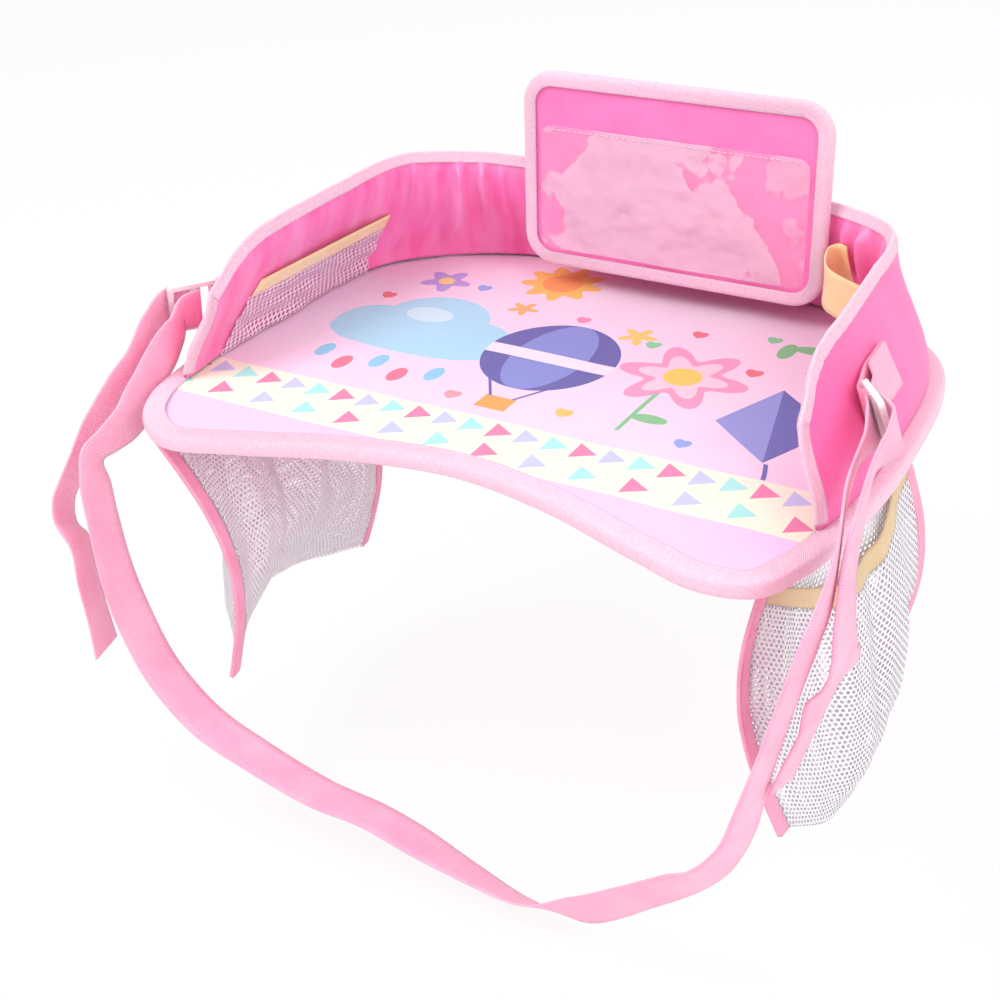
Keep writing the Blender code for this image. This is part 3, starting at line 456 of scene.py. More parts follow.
@dataclass(frozen=True)
class Cloth:
    """A woven finish: two close colours, its threads, its sheen and its soft mottling, which can be drawn out into
    bands of painted shade and highlight on folds.
    """

    name: str
    deep: str
    pale: str
    weave: Weave = Weave.CANVAS
    pitch: float = 0.0008
    relief: float = 0.00012
    rough: float = 0.8
    sheen: float = 0.3
    soft: float = 60.0
    # How far the mottling's noise is drawn out along the cloth into bands of painted shade and highlight on folds; 1
    # leaves it round.
    painted_fold_stretch: float = 1.0

    def threads(self, paint: Paint) -> Value:
        """Height of the threads from 0 to 1, from cosines of the flat cloth's coordinates."""
        u, v, _ = paint.parts(paint.cloth())
        if self.weave is Weave.RIBS:
            ribs = (u / self.pitch).wave() * 0.5 + 0.5
            return ribs * 0.8 + ((v / (self.pitch * 1.6)).wave() * 0.1 + 0.1)
        if self.weave is Weave.TWILL:
            return ((u + v) / self.pitch).wave() * 0.5 + 0.5
        if self.weave is Weave.NAP:
            return paint.noise(paint.cloth(), 0.8 / self.pitch, 3.0)
        over = (u / self.pitch).wave() * (v / self.pitch).wave()
        return over * 0.5 + 0.5

    def material(self) -> bpy.types.Material:
        """The material."""
        paint = Paint(self.name, Roughness=self.rough, Sheen_Weight=self.sheen, Sheen_Roughness=0.4)
        threads = self.threads(paint)
        place = paint.place()
        # Drawn out along the cloth, the noise makes lighter and darker bands that are painted highlight and shade on
        # the satin's folds.
        if self.painted_fold_stretch < 1.0:
            place = paint.vector("MULTIPLY", paint.cloth(), (1.0, self.painted_fold_stretch, 1.0))
        mottle_and_fold_shade = paint.noise(place, self.soft, 3.0)
        if self.painted_fold_stretch < 1.0:
            mottle_and_fold_shade = mottle_and_fold_shade.steps(0.3, 0.7)
        mask = (threads * 0.45 + mottle_and_fold_shade * 0.9 - 0.15).steps(0.0, 1.0)
        paint.feed("Base Color", paint.mix(mask, pigment(self.deep), pigment(self.pale)))
        paint.bump(threads, self.relief)
        return paint.material


@dataclass(frozen=True)
class Net:
    """A knitted net: threads round rows of open cells, each row moved on by half a cell."""

    name: str
    colour: str
    cell: float = 0.0028
    thread: float = 0.30

    def material(self) -> bpy.types.Material:
        """The material: the cell's middle is open where the distance to it is under a radius."""
        paint = Paint(self.name, Roughness=0.6, Sheen_Weight=0.3)
        u, v, _ = paint.parts(paint.cloth())
        rows = v / (self.cell * 0.86)
        moved = u / self.cell + rows.math("FLOOR").math("MODULO", 2.0) * 0.5
        x, y = moved.fract() - 0.5, (rows.fract() - 0.5) * 0.86
        away = (x * x + y * y) ** 0.5
        paint.feed("Alpha", away > 0.5 - self.thread * 0.5)
        paint.tint(paint.noise(paint.place(), 90.0), self.colour, 0.86)
        paint.bump(away, 0.0003)
        return paint.material


@dataclass(frozen=True)
class Plastic:
    """Clear moulded or rolled plastic: glossy, mostly see-through, with soft waves in its face and patches of painted
    glare on it.
    """

    name: str
    colour: str
    clear: float
    waves: float = 0.0
    coat: float = 0.5
    glare: float = 0.0

    def material(self) -> bpy.types.Material:
        """The material: waves in its bump, and patches of painted glare where its pale colour is less clear."""
        paint = Paint(self.name, Roughness=0.12, IOR=1.5, Coat_Weight=self.coat, Coat_Roughness=0.05,
                      Alpha=1 - self.clear)
        grain = paint.noise(paint.place(), 38.0, 2.0)
        paint.tint(grain, self.colour, 0.93)
        if self.waves:
            paint.bump(grain, self.waves)
        if self.glare:
            # Painted reflection: where the noise passes its thresholds the pale colour is less clear, and lies on the
            # window as patches of glare.
            glare_noise = paint.noise(paint.place(), 15.0, 5.0)
            lit = glare_noise.steps(0.49, 0.505) + (1 - glare_noise.steps(0.37, 0.385)) * 0.6
            paint.feed("Alpha", lit * self.glare + (1 - self.clear))
        return paint.material


@dataclass(frozen=True)
class Thread:
    """Sewing thread: a soft sheen and small slanting strands."""

    name: str
    colour: str

    def material(self) -> bpy.types.Material:
        """The material."""
        paint = Paint(self.name, Roughness=0.55, Sheen_Weight=0.4)
        paint.tint(paint.noise(paint.place(), 2500.0), self.colour, 0.75)
        return paint.material


@dataclass(frozen=True)
class TrayPrint:
    """The tray's printed cloth: pink grounds, a cream band with two rows of small triangles, and plain cut-paper
    shapes of sky and garden things above it. All sizes are in metres on the object's X and Y."""

    name: str = "printed cloth"
    band: tuple[float, float] = (-0.1148, -0.0698)
    tall: float = 0.0165
    wide: float = 0.0132
    thread: float = 0.00075

    def heart(self, x: Value, y: Value, size: float) -> Value:
        """1 inside a heart: (x2 + y2 - 1)3 less x2 y3 is below 0."""
        x, y = x / size, y / size
        xx, yy = x * x, y * y
        return ((xx + yy - 1.0).math("POWER", 3.0) - xx * (yy * y)) < 0.0

    def blossom(self, x: Value, y: Value, size: float, petals: int, depth: float) -> Value:
        """1 inside a radius that swings by a cosine of the angle."""
        angle = y.math("ARCTAN2", x) * (petals / TAU)
        return ((x * x + y * y) ** 0.5) < angle.wave() * (size * depth) + size * (1 - depth)

    def triangles(self, x: Value, y: Value, pitch: float, middle: float, start: float) -> Value:
        """1 inside triangles in a row that point to the right and stand on their left side."""
        here = ((x - start) / pitch).fract() * pitch
        level = abs(y - middle) * (2 / self.tall)
        return (here < self.wide) * (level < 1.0 - here / self.wide)

    def material(self) -> bpy.types.Material:
        """The material: every shape is laid over the ones before it."""
        paint = Paint(self.name, Roughness=0.62, Sheen_Weight=0.15, Coat_Weight=0.06, Coat_Roughness=0.4)
        place = paint.place()
        x, y, _ = paint.parts(place)
        flat = paint.vector("MULTIPLY", place, (1.0, 1.0, 0.0))
        low, high = self.band
        tone = paint.mix(paint.noise(place, 30.0), pigment("FCD4F0"), pigment("FEE2F6"))
        tone = paint.mix(y < low, tone, pigment("FAD0F8"))

        def lay(mask: Value, code: str) -> None:
            """Lays a colour where a mask is 1."""
            nonlocal tone
            tone = paint.mix(mask, tone, pigment(code))

        def disc(cx: float, cy: float, rx: float, ry: float | None = None) -> Value:
            """1 inside a disc or ellipse."""
            off = paint.vector("SUBTRACT", flat, (cx, cy, 0.0))
            if ry is not None:
                off = paint.vector("MULTIPLY", off, (1.0, rx / ry, 0.0))
            return Value(paint, paint.vector("LENGTH", off, (0.0, 0.0, 0.0), "Value")) < rx

        lay((y > low) * (y < high), "FFFCE2")
        hues = ("EF7FAD", "C6CEF6", "A6F1EA")
        for middle, pitch, start in ((-0.0806, 0.0168, 0.0), (-0.1025, 0.0288, 0.004)):
            for k, hue in enumerate(hues):
                lay(self.triangles(x, y, 3 * pitch, middle, start + k * pitch), hue)
        # A cloud with drops under it
        for cx, cy, r in ((-0.134, 0.010, 0.027), (-0.104, 0.026, 0.036), (-0.070, 0.010, 0.026)):
            lay(disc(cx, cy, r), "A9E0F7")
        lay(disc(-0.102, 0.000, 0.058, 0.020), "A9E0F7")
        lay(disc(-0.110, 0.034, 0.016, 0.010), "CDF0FB")
        for k in range(5):
            lay(disc(-0.140 + 0.019 * k, -0.035 - 0.010 * (k % 2), 0.0050, 0.0088), ("86CDF0", "F0708C")[k % 2])
        # Three flowers and a pair of leaves along the back
        lay(self.blossom(x + 0.058, y - 0.110, 0.027, 9, 0.16), "FFC24E")
        lay(disc(-0.058, 0.110, 0.013), "FF9B45")
        lay(self.blossom(x + 0.128, y - 0.083, 0.017, 5, 0.24), "B9A2EC")
        lay(disc(-0.128, 0.083, 0.0055), "FFE08A")
        lay(self.blossom(x - 0.140, y - 0.062, 0.017, 5, 0.24), "F7829B")
        lay(disc(0.140, 0.062, 0.0055), "FFE08A")
        lay(disc(0.106, 0.076, 0.0050, 0.0105) + disc(0.119, 0.082, 0.0105, 0.0050), "7CC98A")
        # A round balloon with a pale belt and a basket
        lay(disc(-0.014, 0.012, 0.040, 0.044), "4F55A8")
        lay(disc(-0.014, 0.012, 0.022, 0.044), "7C8BD6")
        lay(disc(-0.014, 0.012, 0.040, 0.044) * (abs(y - 0.010) < 0.006), "FDE9F5")
        lay((abs(x + 0.014) < 0.0095) * (abs(y + 0.052) < 0.0075), "F7A63E")
        lay((abs(abs(x + 0.014) - 0.0070 - (y + 0.045) * 0.6) < 0.0010) * (y < -0.026) * (y > -0.045), "4F55A8")
        # A flower, a kite and small things round them
        lay((abs(x - 0.062 - (y * 9.0).math("SINE") * 0.004) < 0.0014) * (y < 0.0) * (y > -0.052), "7CC98A")
        lay(disc(0.071, -0.034, 0.0105, 0.0048), "7CC98A")
        lay(self.blossom(x - 0.066, y - 0.020, 0.039, 6, 0.22), "F79CC6")
        lay(self.blossom(x - 0.066, y - 0.020, 0.027, 6, 0.22), "FDD3E6")
        lay(disc(0.066, 0.020, 0.0110), "FFD24F")
        dx, dy = x - 0.133, y + 0.012
        across, up = dx + dy * 0.25, dy - dx * 0.25
        kite = (abs(across) / 0.032 + abs(up) / 0.043) < 1.0
        lay(kite, "5560B4")
        lay(kite * (across < 0.0), "8C98DE")
        lay((abs(dx - 0.012 - (y * 60.0).math("SINE") * 0.006) < 0.0013) * (y < -0.053) * (y > -0.069), "5560B4")
        lay(self.blossom(x - 0.020, y - 0.058, 0.012, 5, 0.30), "FFCF5C")
        lay(self.blossom(x + 0.062, y - 0.066, 0.010, 5, 0.30), "FFB45E")
        for cx, cy, size, hue in ((-0.150, 0.048, 0.0042, "F06C78"), (-0.041, -0.054, 0.0045, "F59AA6"),
                                  (0.026, -0.048, 0.0045, "FFC65A"), (0.033, 0.050, 0.0042, "86D39A"),
                                  (0.100, 0.040, 0.0045, "F06C78"), (0.098, -0.052, 0.0042, "8EA8F0"),
                                  (0.150, 0.040, 0.0042, "FFC65A"), (-0.020, 0.064, 0.0040, "F58AB0"),
                                  (0.094, 0.086, 0.0040, "86D39A"), (0.052, 0.074, 0.0042, "F06C78"),
                                  (-0.100, 0.082, 0.0042, "8EA8F0"), (0.168, -0.030, 0.0040, "F59AA6")):
            lay(self.heart(x - cx, y - cy, size), hue)
        speck = (paint.noise(place, 2400.0, 1.0) - 0.5) * 0.5
        tone = paint.mix((speck + 0.06).steps(0.0, 1.0), tone, (0.62, 0.44, 0.62))
        paint.feed("Base Color", tone)
        weave = (x / self.thread).wave() * (y / self.thread).wave()
        paint.bump(weave * 0.5 + 0.5 + paint.noise(place, 160.0, 2.0) * 1.4, 0.00016)
        return paint.material


FINISHES = {
    "tape": Cloth("pale binding tape", "FCB2D2", "FFE2F0", Weave.TWILL, 0.0013, 0.00026, 0.75, 0.3, 600.0),
    "cover": Cloth("pink cover cloth", "FF5FAA", "FF84C2", Weave.CANVAS, 0.0007, 0.00005, 0.55, 0.2, 18.0),
    # The satin's deep and pale colours, drawn out in bands up the wall, are painted shade and highlight on its folds.
    "satin": Cloth("gathered pink satin", "FF56A6", "FF9AD0", Weave.TWILL, 0.0006, 0.00003, 0.35, 0.3, 60.0, 0.25),
    "lining": Cloth("lining cloth", "EE6BA6", "F78ABB", Weave.CANVAS, 0.0008, 0.00008),
    "holder": Cloth("holder cloth", "F96DB2", "FF8DC8", Weave.CANVAS, 0.0009, 0.00010, 0.7, 0.3),
    "webbing": Cloth("pink webbing", "FB97BE", "FFC6DC", Weave.RIBS, 0.0012, 0.00016, 0.7, 0.3, 40.0),
    "ribbon": Cloth("apricot ribbon", "FFCB84", "FFE9BE", Weave.RIBS, 0.0011, 0.00014, 0.5, 0.3),
    "elastic": Cloth("cream elastic", "F3CF94", "FFEBC2", Weave.RIBS, 0.0013, 0.00016, 0.75, 0.2),
    "tan_elastic": Cloth("tan elastic", "CFAF80", "EAD3AC", Weave.RIBS, 0.0012, 0.00020, 0.75, 0.2),
    "seam_tape": Cloth("rose seam tape", "F38CB4", "FFB6D2", Weave.TWILL, 0.0011, 0.00016, 0.75, 0.3),
    "strip": Cloth("loop strip", "EE7FB4", "F79CC8", Weave.NAP, 0.0006, 0.0004, 0.95, 0.5),
    "board": Cloth("grey board", "CFCAC0", "E2DED6", Weave.NAP, 0.0015, 0.0001, 0.6, 0.0),
    "net": Net("pale knitted net", "F6F3F8", 0.0030, 0.36),
    "pink_net": Net("pink open net", "FFDDF0", 0.0038, 0.36),
    "buckle": Plastic("clear moulded plastic", "FFFFFF", 0.25),
    # The window's last number sets its patches of painted glare.
    "window": Plastic("clear vinyl", "FFE6F5", 0.90, 0.008, 1.0, 0.27),
    "thread": Thread("pink thread", "FFD2E8"),
    "print": TrayPrint(),
}


@cache
def material_of(finish: str) -> bpy.types.Material:
    """A finish's material, made once."""
    return FINISHES[finish].material()


def dress(piece: bpy.types.Object, finish: str) -> bpy.types.Object:
    """Gives a piece its finish."""
    piece.data.materials.clear()
    piece.data.materials.append(material_of(finish))
    return piece


def fit(piece: bpy.types.Object, body: str, finish: str, slot: str, *nodes: str) -> bpy.types.Object:
    """Dresses a piece, makes it ride and lets it stand for CAD nodes.

    Args:
        piece: The new piece.
        body: The body it rides on.
        finish: The name of its finish.
        slot: The record's material slot; not used.
        nodes: The nodes that it replaces.

    Returns:
        The piece.
    """
    dress(piece, finish)
    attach(piece, body)
    if nodes:
        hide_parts(*nodes)
    LOG.info("%s rides on %s", piece.name, body)
    return piece


# ---- the tray


@dataclass(frozen=True)
class Rim:
    """The outline of the tray, and the heights of its layers."""

    half_width: float = 0.208
    depth: float = 0.331
    setback: float = 0.0026
    gap: float = 0.0003
    lining: float = 0.0010
    print_low: float = 0.0070
    print_top: float = 0.0080
    tape: float = 0.0010
    tape_width: float = 0.013
    shares: tuple = (
        (0.0, 0.126), (0.284, 0.097), (0.578, 0.032), (0.748, 0.0), (0.885, 0.020), (0.947, 0.095),
        (0.980, 0.186), (1.0, 0.455), (0.898, 0.809), (0.466, 0.981), (0.0, 1.0), (-0.466, 0.981),
        (-0.898, 0.809), (-1.0, 0.455), (-0.973, 0.186), (-0.944, 0.113), (-0.875, 0.045), (-0.748, 0.003),
        (-0.578, 0.032), (-0.284, 0.097))

    def dense(self, inset: float) -> Array:
        """The outline moved inwards along its normals."""
        knots = [(x * self.half_width, (y - 0.5) * self.depth) for x, y in self.shares]
        loop = curve_through(knots, 24, closed=True)
        ahead = unit(np.roll(loop, -1, axis=0) - np.roll(loop, 1, axis=0))
        return loop + inset * np.stack([-ahead[:, 1], ahead[:, 0]], axis=1)

    def loop(self, inset: float, count: int) -> Array:
        """Evenly spaced points of the outline moved inwards."""
        dense = self.dense(inset)
        return along(np.concatenate([dense, dense[:1]]), np.arange(count) / count)

    def panel(self, inset: float, z: float, columns: int = 161, rows: int = 121) -> Array:
        """A flat grid inside the outline: columns of points between its front and back edges, closer to each
        other towards the sides by a cosine."""
        loop = self.dense(inset)
        right, left = int(loop[:, 0].argmax()), int(loop[:, 0].argmin())
        back = loop[right:left + 1][::-1]
        front = np.concatenate([loop[left:], loop[:right + 1]])
        u = np.linspace(0.03, 0.97, columns)
        x = loop[left, 0] + (loop[right, 0] - loop[left, 0]) * (0.5 - 0.5 * np.cos(np.pi * u))
        low, high = np.interp(x, front[:, 0], front[:, 1]), np.interp(x, back[:, 0], back[:, 1])
        v = np.linspace(0.0, 1.0, rows)[:, None]
        y = low + (high - low) * v
        return np.stack([np.broadcast_to(x, y.shape), y, np.full_like(y, z)], axis=-1)


RIM = Rim()


@dataclass
class TrayBase:
    """The padded board: printed top, lining below and the tape round the edge."""

    quilt: float = 0.00035

    def build(self) -> None:
        """Makes and fits the pieces."""
        top = RIM.panel(RIM.setback, (RIM.print_low + RIM.print_top) / 2)
        top[..., 2] += self.quilt * ripple(top, 0.07, 3)
        fit(surface("printed_top", top, 0.0009), "tray", "print", "print", "print_panel", "base_foam")
        under = RIM.panel(RIM.tape_width + RIM.gap, RIM.lining / 2, 121, 91)
        fit(surface("under_lining", under, RIM.lining), "tray", "lining", "lining", "bottom_lining")
        fit(self.binding(), "tray", "tape", "tape", "rim_binding")
        top_face = RIM.print_top + RIM.gap + 1.05 * RIM.tape
        seam = closed_seam(RIM.loop, RIM.tape_width - SEAM_INSET, 1400, top_face)
        up = np.tile((0.0, 0.0, 1.0), (len(seam), 1))
        fit(stitches("rim_stitches", seam, up), "tray", "thread", "tape")
        dress(bpy.data.objects["base_board"], "board")

    def binding(self) -> bpy.types.Object:
        """The edge tape: a rounded U section carried round the outline, a little puckered by its seam."""
        tape, wide = RIM.tape, RIM.tape_width
        high, low, curl = RIM.print_top + RIM.gap + tape / 2, tape / 2, 2 * tape
        section = curve_through(
            [(wide, high), (wide * 0.75, high + 0.0001), (wide / 2, high + 0.0003), (curl, high),
             (tape, high - curl / 2), (tape * 0.55, (high + low) / 2), (tape, low + curl / 2),
             (curl, low + tape / 4), (wide / 2, low), (wide, low)], 3)
        count = 620
        points = carried(RIM.loop, section, count)
        pucker = 0.00016 * np.sin(np.arange(count) / count * TAU * 210) + 0.0002 * ripple(points, 0.03, 5)
        rise = clamped((section[:, 1] - (high + low) / 2) / (high - low) * 2)[:, None]
        points[..., 2] += pucker * rise * clamped((section[:, :1] - curl) / wide)
        return surface("edge_tape", points, tape, wrap=True)


@dataclass
class Wall:
    """The padded wall on three sides: its path, its faces, the tape on its raw edge and its seams."""

    height: float = 0.0755
    z: float = 0.0096
    front: float = 0.061
    inset: float = 0.0093
    rake: float = 0.012
    cover: float = 0.0008
    lining: float = 0.0008
    thick: float = 0.0062
    back_share: float = 0.4535
    back_blend: float = 0.004
    step_share: float = 0.015
    gather: float = 0.0080
    tape: float = 0.0009
    leg: float = 0.0044
    pinch: float = 0.76
    pinch_reach: float = 0.012
    holder_width: float = 0.1965
    heights: tuple = ((0.0, 0.63), (0.015, 0.72), (0.03, 0.84), (0.05, 0.92), (0.075, 0.955), (0.16, 0.985),
                      (0.27, 1.0), (0.36, 0.95), (0.5, 0.95))
    places: tuple = (0.0, 0.18, 0.27, 0.345, 0.41, 0.5)
    tops: tuple = (1.0, 1.0, 0.9, 0.8, 0.65, 0.65)
    leans: tuple = (0.0265, 0.0265, 0.0195, 0.0195, 0.027, 0.027)
    path: Array = field(init=False)
    length: float = field(init=False)

    def __post_init__(self) -> None:
        """Works out the foot's path: the outline moved inwards, its back flattened by a soft minimum."""
        loop = RIM.dense(self.inset)
        start = self.front - RIM.depth / 2
        first = int(np.flatnonzero((loop[:, 0] > 0) & (loop[:, 1] > start))[0])
        last = int(np.flatnonzero((loop[:, 0] < 0) & (loop[:, 1] > start))[-1])
        path = loop[first:last + 1].copy()
        flat = self.back_share * RIM.depth
        path[:, 1] = flat - self.back_blend * np.logaddexp(0.0, (flat - path[:, 1]) / self.back_blend)
        self.path = path
        self.length = float(np.linalg.norm(np.diff(path, axis=0), axis=1).sum())

    def point(self, share: Array, height: Array, depth: Array) -> Array:
        """Places on the wall: along its path, up with a rake at the ends, leant in by a smooth step, and moved
        square to the leaning face by the depth.

        Args:
            share: Share of its length.
            height: Share of its height there.
            depth: Distance inwards from its outer face.

        Returns:
            The places.
        """
        share, height, depth = np.broadcast_arrays(*(np.asarray(a, float) for a in (share, height, depth)))
        side = np.minimum(share, 1 - share)
        rake = self.rake / self.length * height * np.maximum(0.0, 1 - side / self.heights[4][0])
        moved = np.where(share < 0.5, share + rake, share - rake)
        here, back, ahead = (along(self.path, clamped(moved + d)) for d in (0.0, -self.step_share, self.step_share))
        run = unit(ahead - back)
        top = self.tall(share)
        lean = np.interp(side, self.places, self.leans)
        span = np.interp(side, self.places, self.tops)
        rise = np.minimum(1.0, height / span)
        slope = lean / self.height * 6 * rise * (1 - rise) / span
        level = depth / np.hypot(1.0, slope)
        inwards = np.stack([-run[..., 1], run[..., 0]], axis=-1)
        flat = here + inwards * (lean * top / self.height * rise**2 * (3 - 2 * rise) + level)[..., None]
        return np.concatenate([flat, (self.z + top * height - level * slope)[..., None]], axis=-1)

    def pinched(self, share: Array, height: Array, depth: Array) -> Array:
        """Depths drawn to the middle towards the raw edges, where the seam presses the padding flat: by the square
        of how near the edge is.

        Args:
            share: Share of the wall's length.
            height: Share of its height there.
            depth: Distance inwards from its outer face.

        Returns:
            The distances, less the pinch.
        """
        off = np.minimum((1 - height) * self.tall(share), np.minimum(share, 1 - share) * self.length)
        near = clamped(1 - off / self.pinch_reach) ** 2
        middle = self.thick / 2
        return middle + (depth - middle) * (1 - self.pinch * near)

    def tall(self, share: Array) -> Array:
        """Height of the wall at shares of its length."""
        return self.height * np.interp(np.minimum(share, 1 - share), *zip(*self.heights))

    def face(self, columns: int, rows: int) -> tuple[Array, Array]:
        """Shares of length and height for a grid."""
        return np.meshgrid(np.linspace(0, 1, columns), np.linspace(0, 1, rows))

    def outside(self) -> bpy.types.Object:
        """The cover: a little full between its seams, with soft dimples."""
        u, v = self.face(420, 34)
        plain = self.point(u, v, self.cover / 2)
        full = 0.0011 * np.sin(np.pi * v) * clamped(np.minimum(u, 1 - u) * 18)
        dent = 0.0009 * ripple(plain, 0.055, 11, (1.0, 1.0, 1.6)) * np.sin(np.pi * v) ** 0.5
        depth = self.pinched(u, v, self.cover / 2 - full + dent * 0.7)
        return surface("wall_cover_cloth", self.point(u, v, depth), self.cover)

    def inside(self) -> bpy.types.Object:
        """The lining: soft folds that run up the wall, made by a wandering cosine sharpened to narrow crests."""
        u, v = self.face(900, 40)
        lining = self.thick - self.lining / 2
        plain = self.point(u, v, lining)
        wander = ripple(np.stack([u * 3, v * 0.30, 0 * u], axis=-1), 0.5, 21) * 0.35
        drift = ripple(np.stack([u * 9, v * 0.2, 0 * u], axis=-1), 0.6, 22) * 0.25
        wave = 0.5 - 0.5 * np.cos(TAU * (34 * u + wander * 2 + drift + 0.45 * v))
        heavy = 0.55 + 0.45 * ripple(np.stack([u * 12, v * 0.5, 0 * u], axis=-1), 0.5, 23)
        crest = wave**2.2 * clamped(heavy)
        up = clamped((0.97 - v) / 0.12) * clamped(v / 0.3 + 0.15)
        ends = clamped((np.minimum(u, 1 - u) - 0.05) / 0.05)
        beside = clamped((np.abs(u - 0.5) * self.length - self.holder_width / 2 - 0.006) / 0.02) * 0.8 + 0.2
        behind = np.where(plain[..., 0] > 0, 1.0, clamped((plain[..., 1] + RIM.depth / 2 - 0.25) / 0.012))
        depth = lining + self.gather * crest * up * ends * beside * (0.12 + 0.88 * behind)
        return surface("wall_satin_lining", self.point(u, v, self.pinched(u, v, depth)), self.lining)

    def edge(self) -> bpy.types.Object:
        """The tape over the raw edge: a U section carried up one front edge, along the top and down the other."""
        rise = np.linspace(0.05, 1.0, 26)[:-1]
        top = np.linspace(0.0, 1.0, 560)
        share = np.concatenate([0 * rise, top, 0 * rise + 1])
        height = np.concatenate([rise, 0 * top + 1, rise[::-1]])
        run = np.arange(len(share))
        turn_a, turn_b = len(rise), len(rise) + len(top) - 1
        soft = 5.0
        upright = clamped((turn_a - run) / soft + 0.5) - clamped((run - turn_b) / soft + 0.5)
        flat = -clamped((run - turn_a) / soft + 0.5) * clamped((turn_b - run) / soft + 0.5)
        off, leg, curl = 0.0006 + self.tape / 2, self.leg, 2 * self.tape
        inner = self.thick + off
        section = curve_through(
            [(-off, -leg), (-off, -leg / 2), (-off, -curl), (-off * 0.9, 0.0), (self.tape, curl * 0.8),
             (self.thick / 2, curl), (self.thick - self.tape, curl * 0.8), (inner - off * 0.1, 0.0),
             (inner, -curl), (inner, -leg / 2), (inner, -leg)], 3)
        depth, reach = section[:, :1], section[:, 1:]
        back = np.maximum(0.0, -reach)
        tall = self.tall(share)
        share_in, height_in = clamped(share + upright * back / self.length), height + flat * back / tall
        base = self.point(share_in, height_in, self.pinched(share_in, height_in, depth))
        outer, through = self.point(share, height, 0.0), self.point(share, height, self.thick)
        way = unit(np.gradient(outer, axis=0))
        beyond = unit(np.cross(way, unit(through - outer)))
        points = base + beyond[None] * np.maximum(0.0, reach)[..., None]
        points += facing(points) * (0.00014 * np.sin(run * 0.9) * (back > 0.002))[..., None]
        return surface("wall_edge_tape", points, self.tape)

    def seam(self, name: str, depth: float, inwards: float) -> bpy.types.Object:
        """Stitches along the lower edge of the tape's leg."""
        share = np.linspace(0.012, 0.988, 900)
        height = 1 - (self.leg - SEAM_INSET) / self.tall(share)
        line = self.point(share, height, self.pinched(share, height, depth + 0 * share))
        out = unit(self.point(share, height, depth + inwards) - self.point(share, height, depth))
        return stitches(name, line, out)

    def build(self) -> None:
        """Makes and fits the pieces."""
        cover = fit(self.outside(), "tray", "cover", "cover", "wall_cover", "wall_core")
        fit(self.inside(), "tray", "satin", "satin", "wall_lining")
        fit(self.edge(), "tray", "tape", "tape", "wall_binding")
        fit(self.seam("wall_outer_stitches", -STITCH_RISE, -0.001), "tray", "thread", "tape")
        fit(self.seam("wall_inner_stitches", self.thick + STITCH_RISE, 0.001), "tray", "thread", "tape")
        dress(bpy.data.objects["wall_loop_strip"], "strip")


WALL = Wall()


@dataclass
class InnerPocket:
    """The net pocket inside the left wall, with an elastic along its mouth."""

    front: float = 0.095
    back: float = 0.239
    front_slant: float = 0.022
    back_slant: float = 0.011
    tall: float = 0.032
    bulge: float = 0.007
    band: float = 0.009
    stand: float = 0.0013
    seam: float = 0.0028

    def shares(self, y: Array) -> Array:
        """Shares of the wall's length at distances from the tray's front, on the left side."""
        share = np.linspace(0.5, 1.0, 301)
        ys = WALL.point(share, 0.0, 0.0)[:, 1] + RIM.depth / 2
        return np.interp(-y, -ys, share)

    def grid(self, low: float, high: float, columns: int, rows: int, stand: float) -> Array:
        """Places between two heights, which bulge from the wall as a half sine."""
        u, level = np.meshgrid(np.linspace(0, 1, columns), np.linspace(low, high, rows))
        rise = level / self.tall
        start, end = self.front + self.front_slant * rise, self.back + self.back_slant * rise
        share = self.shares(start + u * (end - start))
        swell = 0.3 * self.bulge * np.sin(np.pi * u)
        laid = WALL.point(share, level / WALL.tall(share), WALL.thick + stand + swell)
        straight = laid[:, :1] + (laid[:, -1:] - laid[:, :1]) * u[..., None]
        return laid + (straight - laid) * clamped(rise * 0.95)[..., None]

    def build(self) -> None:
        """Makes and fits the net and its elastic."""
        low = RIM.print_top - WALL.z + 0.001
        top = self.tall + 0.001
        net = self.grid(low, top, 90, 30, self.stand)
        net += facing(net) * (0.0012 * ripple(net, 0.022, 31, (1.0, 1.0, 0.4)))[..., None]
        fit(surface("crayon_pocket_net", net, NET_THICK), "tray", "pink_net", "pink_net", "inner_pocket_net")
        band = surface("crayon_pocket_elastic", self.grid(top, top + self.band, 90, 7, self.stand), ELASTIC_THICK)
        fit(band, "tray", "elastic", "elastic", "inner_pocket_elastic")
        seam = self.tall + self.seam
        line, outer = (self.grid(seam, seam + 0.0002, 300, 2, stand)[0] for stand in (0.0021, 0.0031))
        fit(stitches("crayon_pocket_stitches", line, unit(outer - line)), "tray", "thread", "elastic")


@dataclass
class BottleLoop:
    """The ribbon that holds a bottle in the right rear corner."""

    width: float = 0.025
    thick: float = 0.0009
    stand: float = 0.0041
    seams: tuple = (((0.314, 0.640), (0.324, 0.640)), ((0.222, 0.498), (0.211, 0.498)))
    free: tuple = ((0.574, 0.306, 0.564), (0.612, 0.230, 0.537), (0.721, 0.197, 0.503))

    def build(self) -> None:
        """Makes and fits the ribbon."""
        off = WALL.thick + 0.0026 + self.stand
        half = self.width / 2 / WALL.height
        shares = np.array([pair for seam in self.seams for pair in seam])
        low, high = (WALL.point(shares[:, 0], shares[:, 1] + way * half, off) for way in (-1, 1))
        free = np.array(self.free) * (RIM.half_width, RIM.depth, WALL.height) + (0.0, 0.0, WALL.z)
        middle, edge = (low + high) / 2, high - low
        stops = np.concatenate([middle[:2], free, middle[2:]])
        edges = np.concatenate([edge[:2], np.tile((0.0, 0.0, self.width), (3, 1)), edge[2:]])
        line, way = curve_through(stops, 20), curve_through(edges, 20)
        line += 0.0004 * ripple(line, 0.03, 41)[:, None] * (0.0, 0.0, 1.0)
        piece = ribbon("bottle_ribbon", line, way, self.width, self.thick, 9, 0.0006)
        fit(piece, "tray", "ribbon", "ribbon", "bottle_loop")


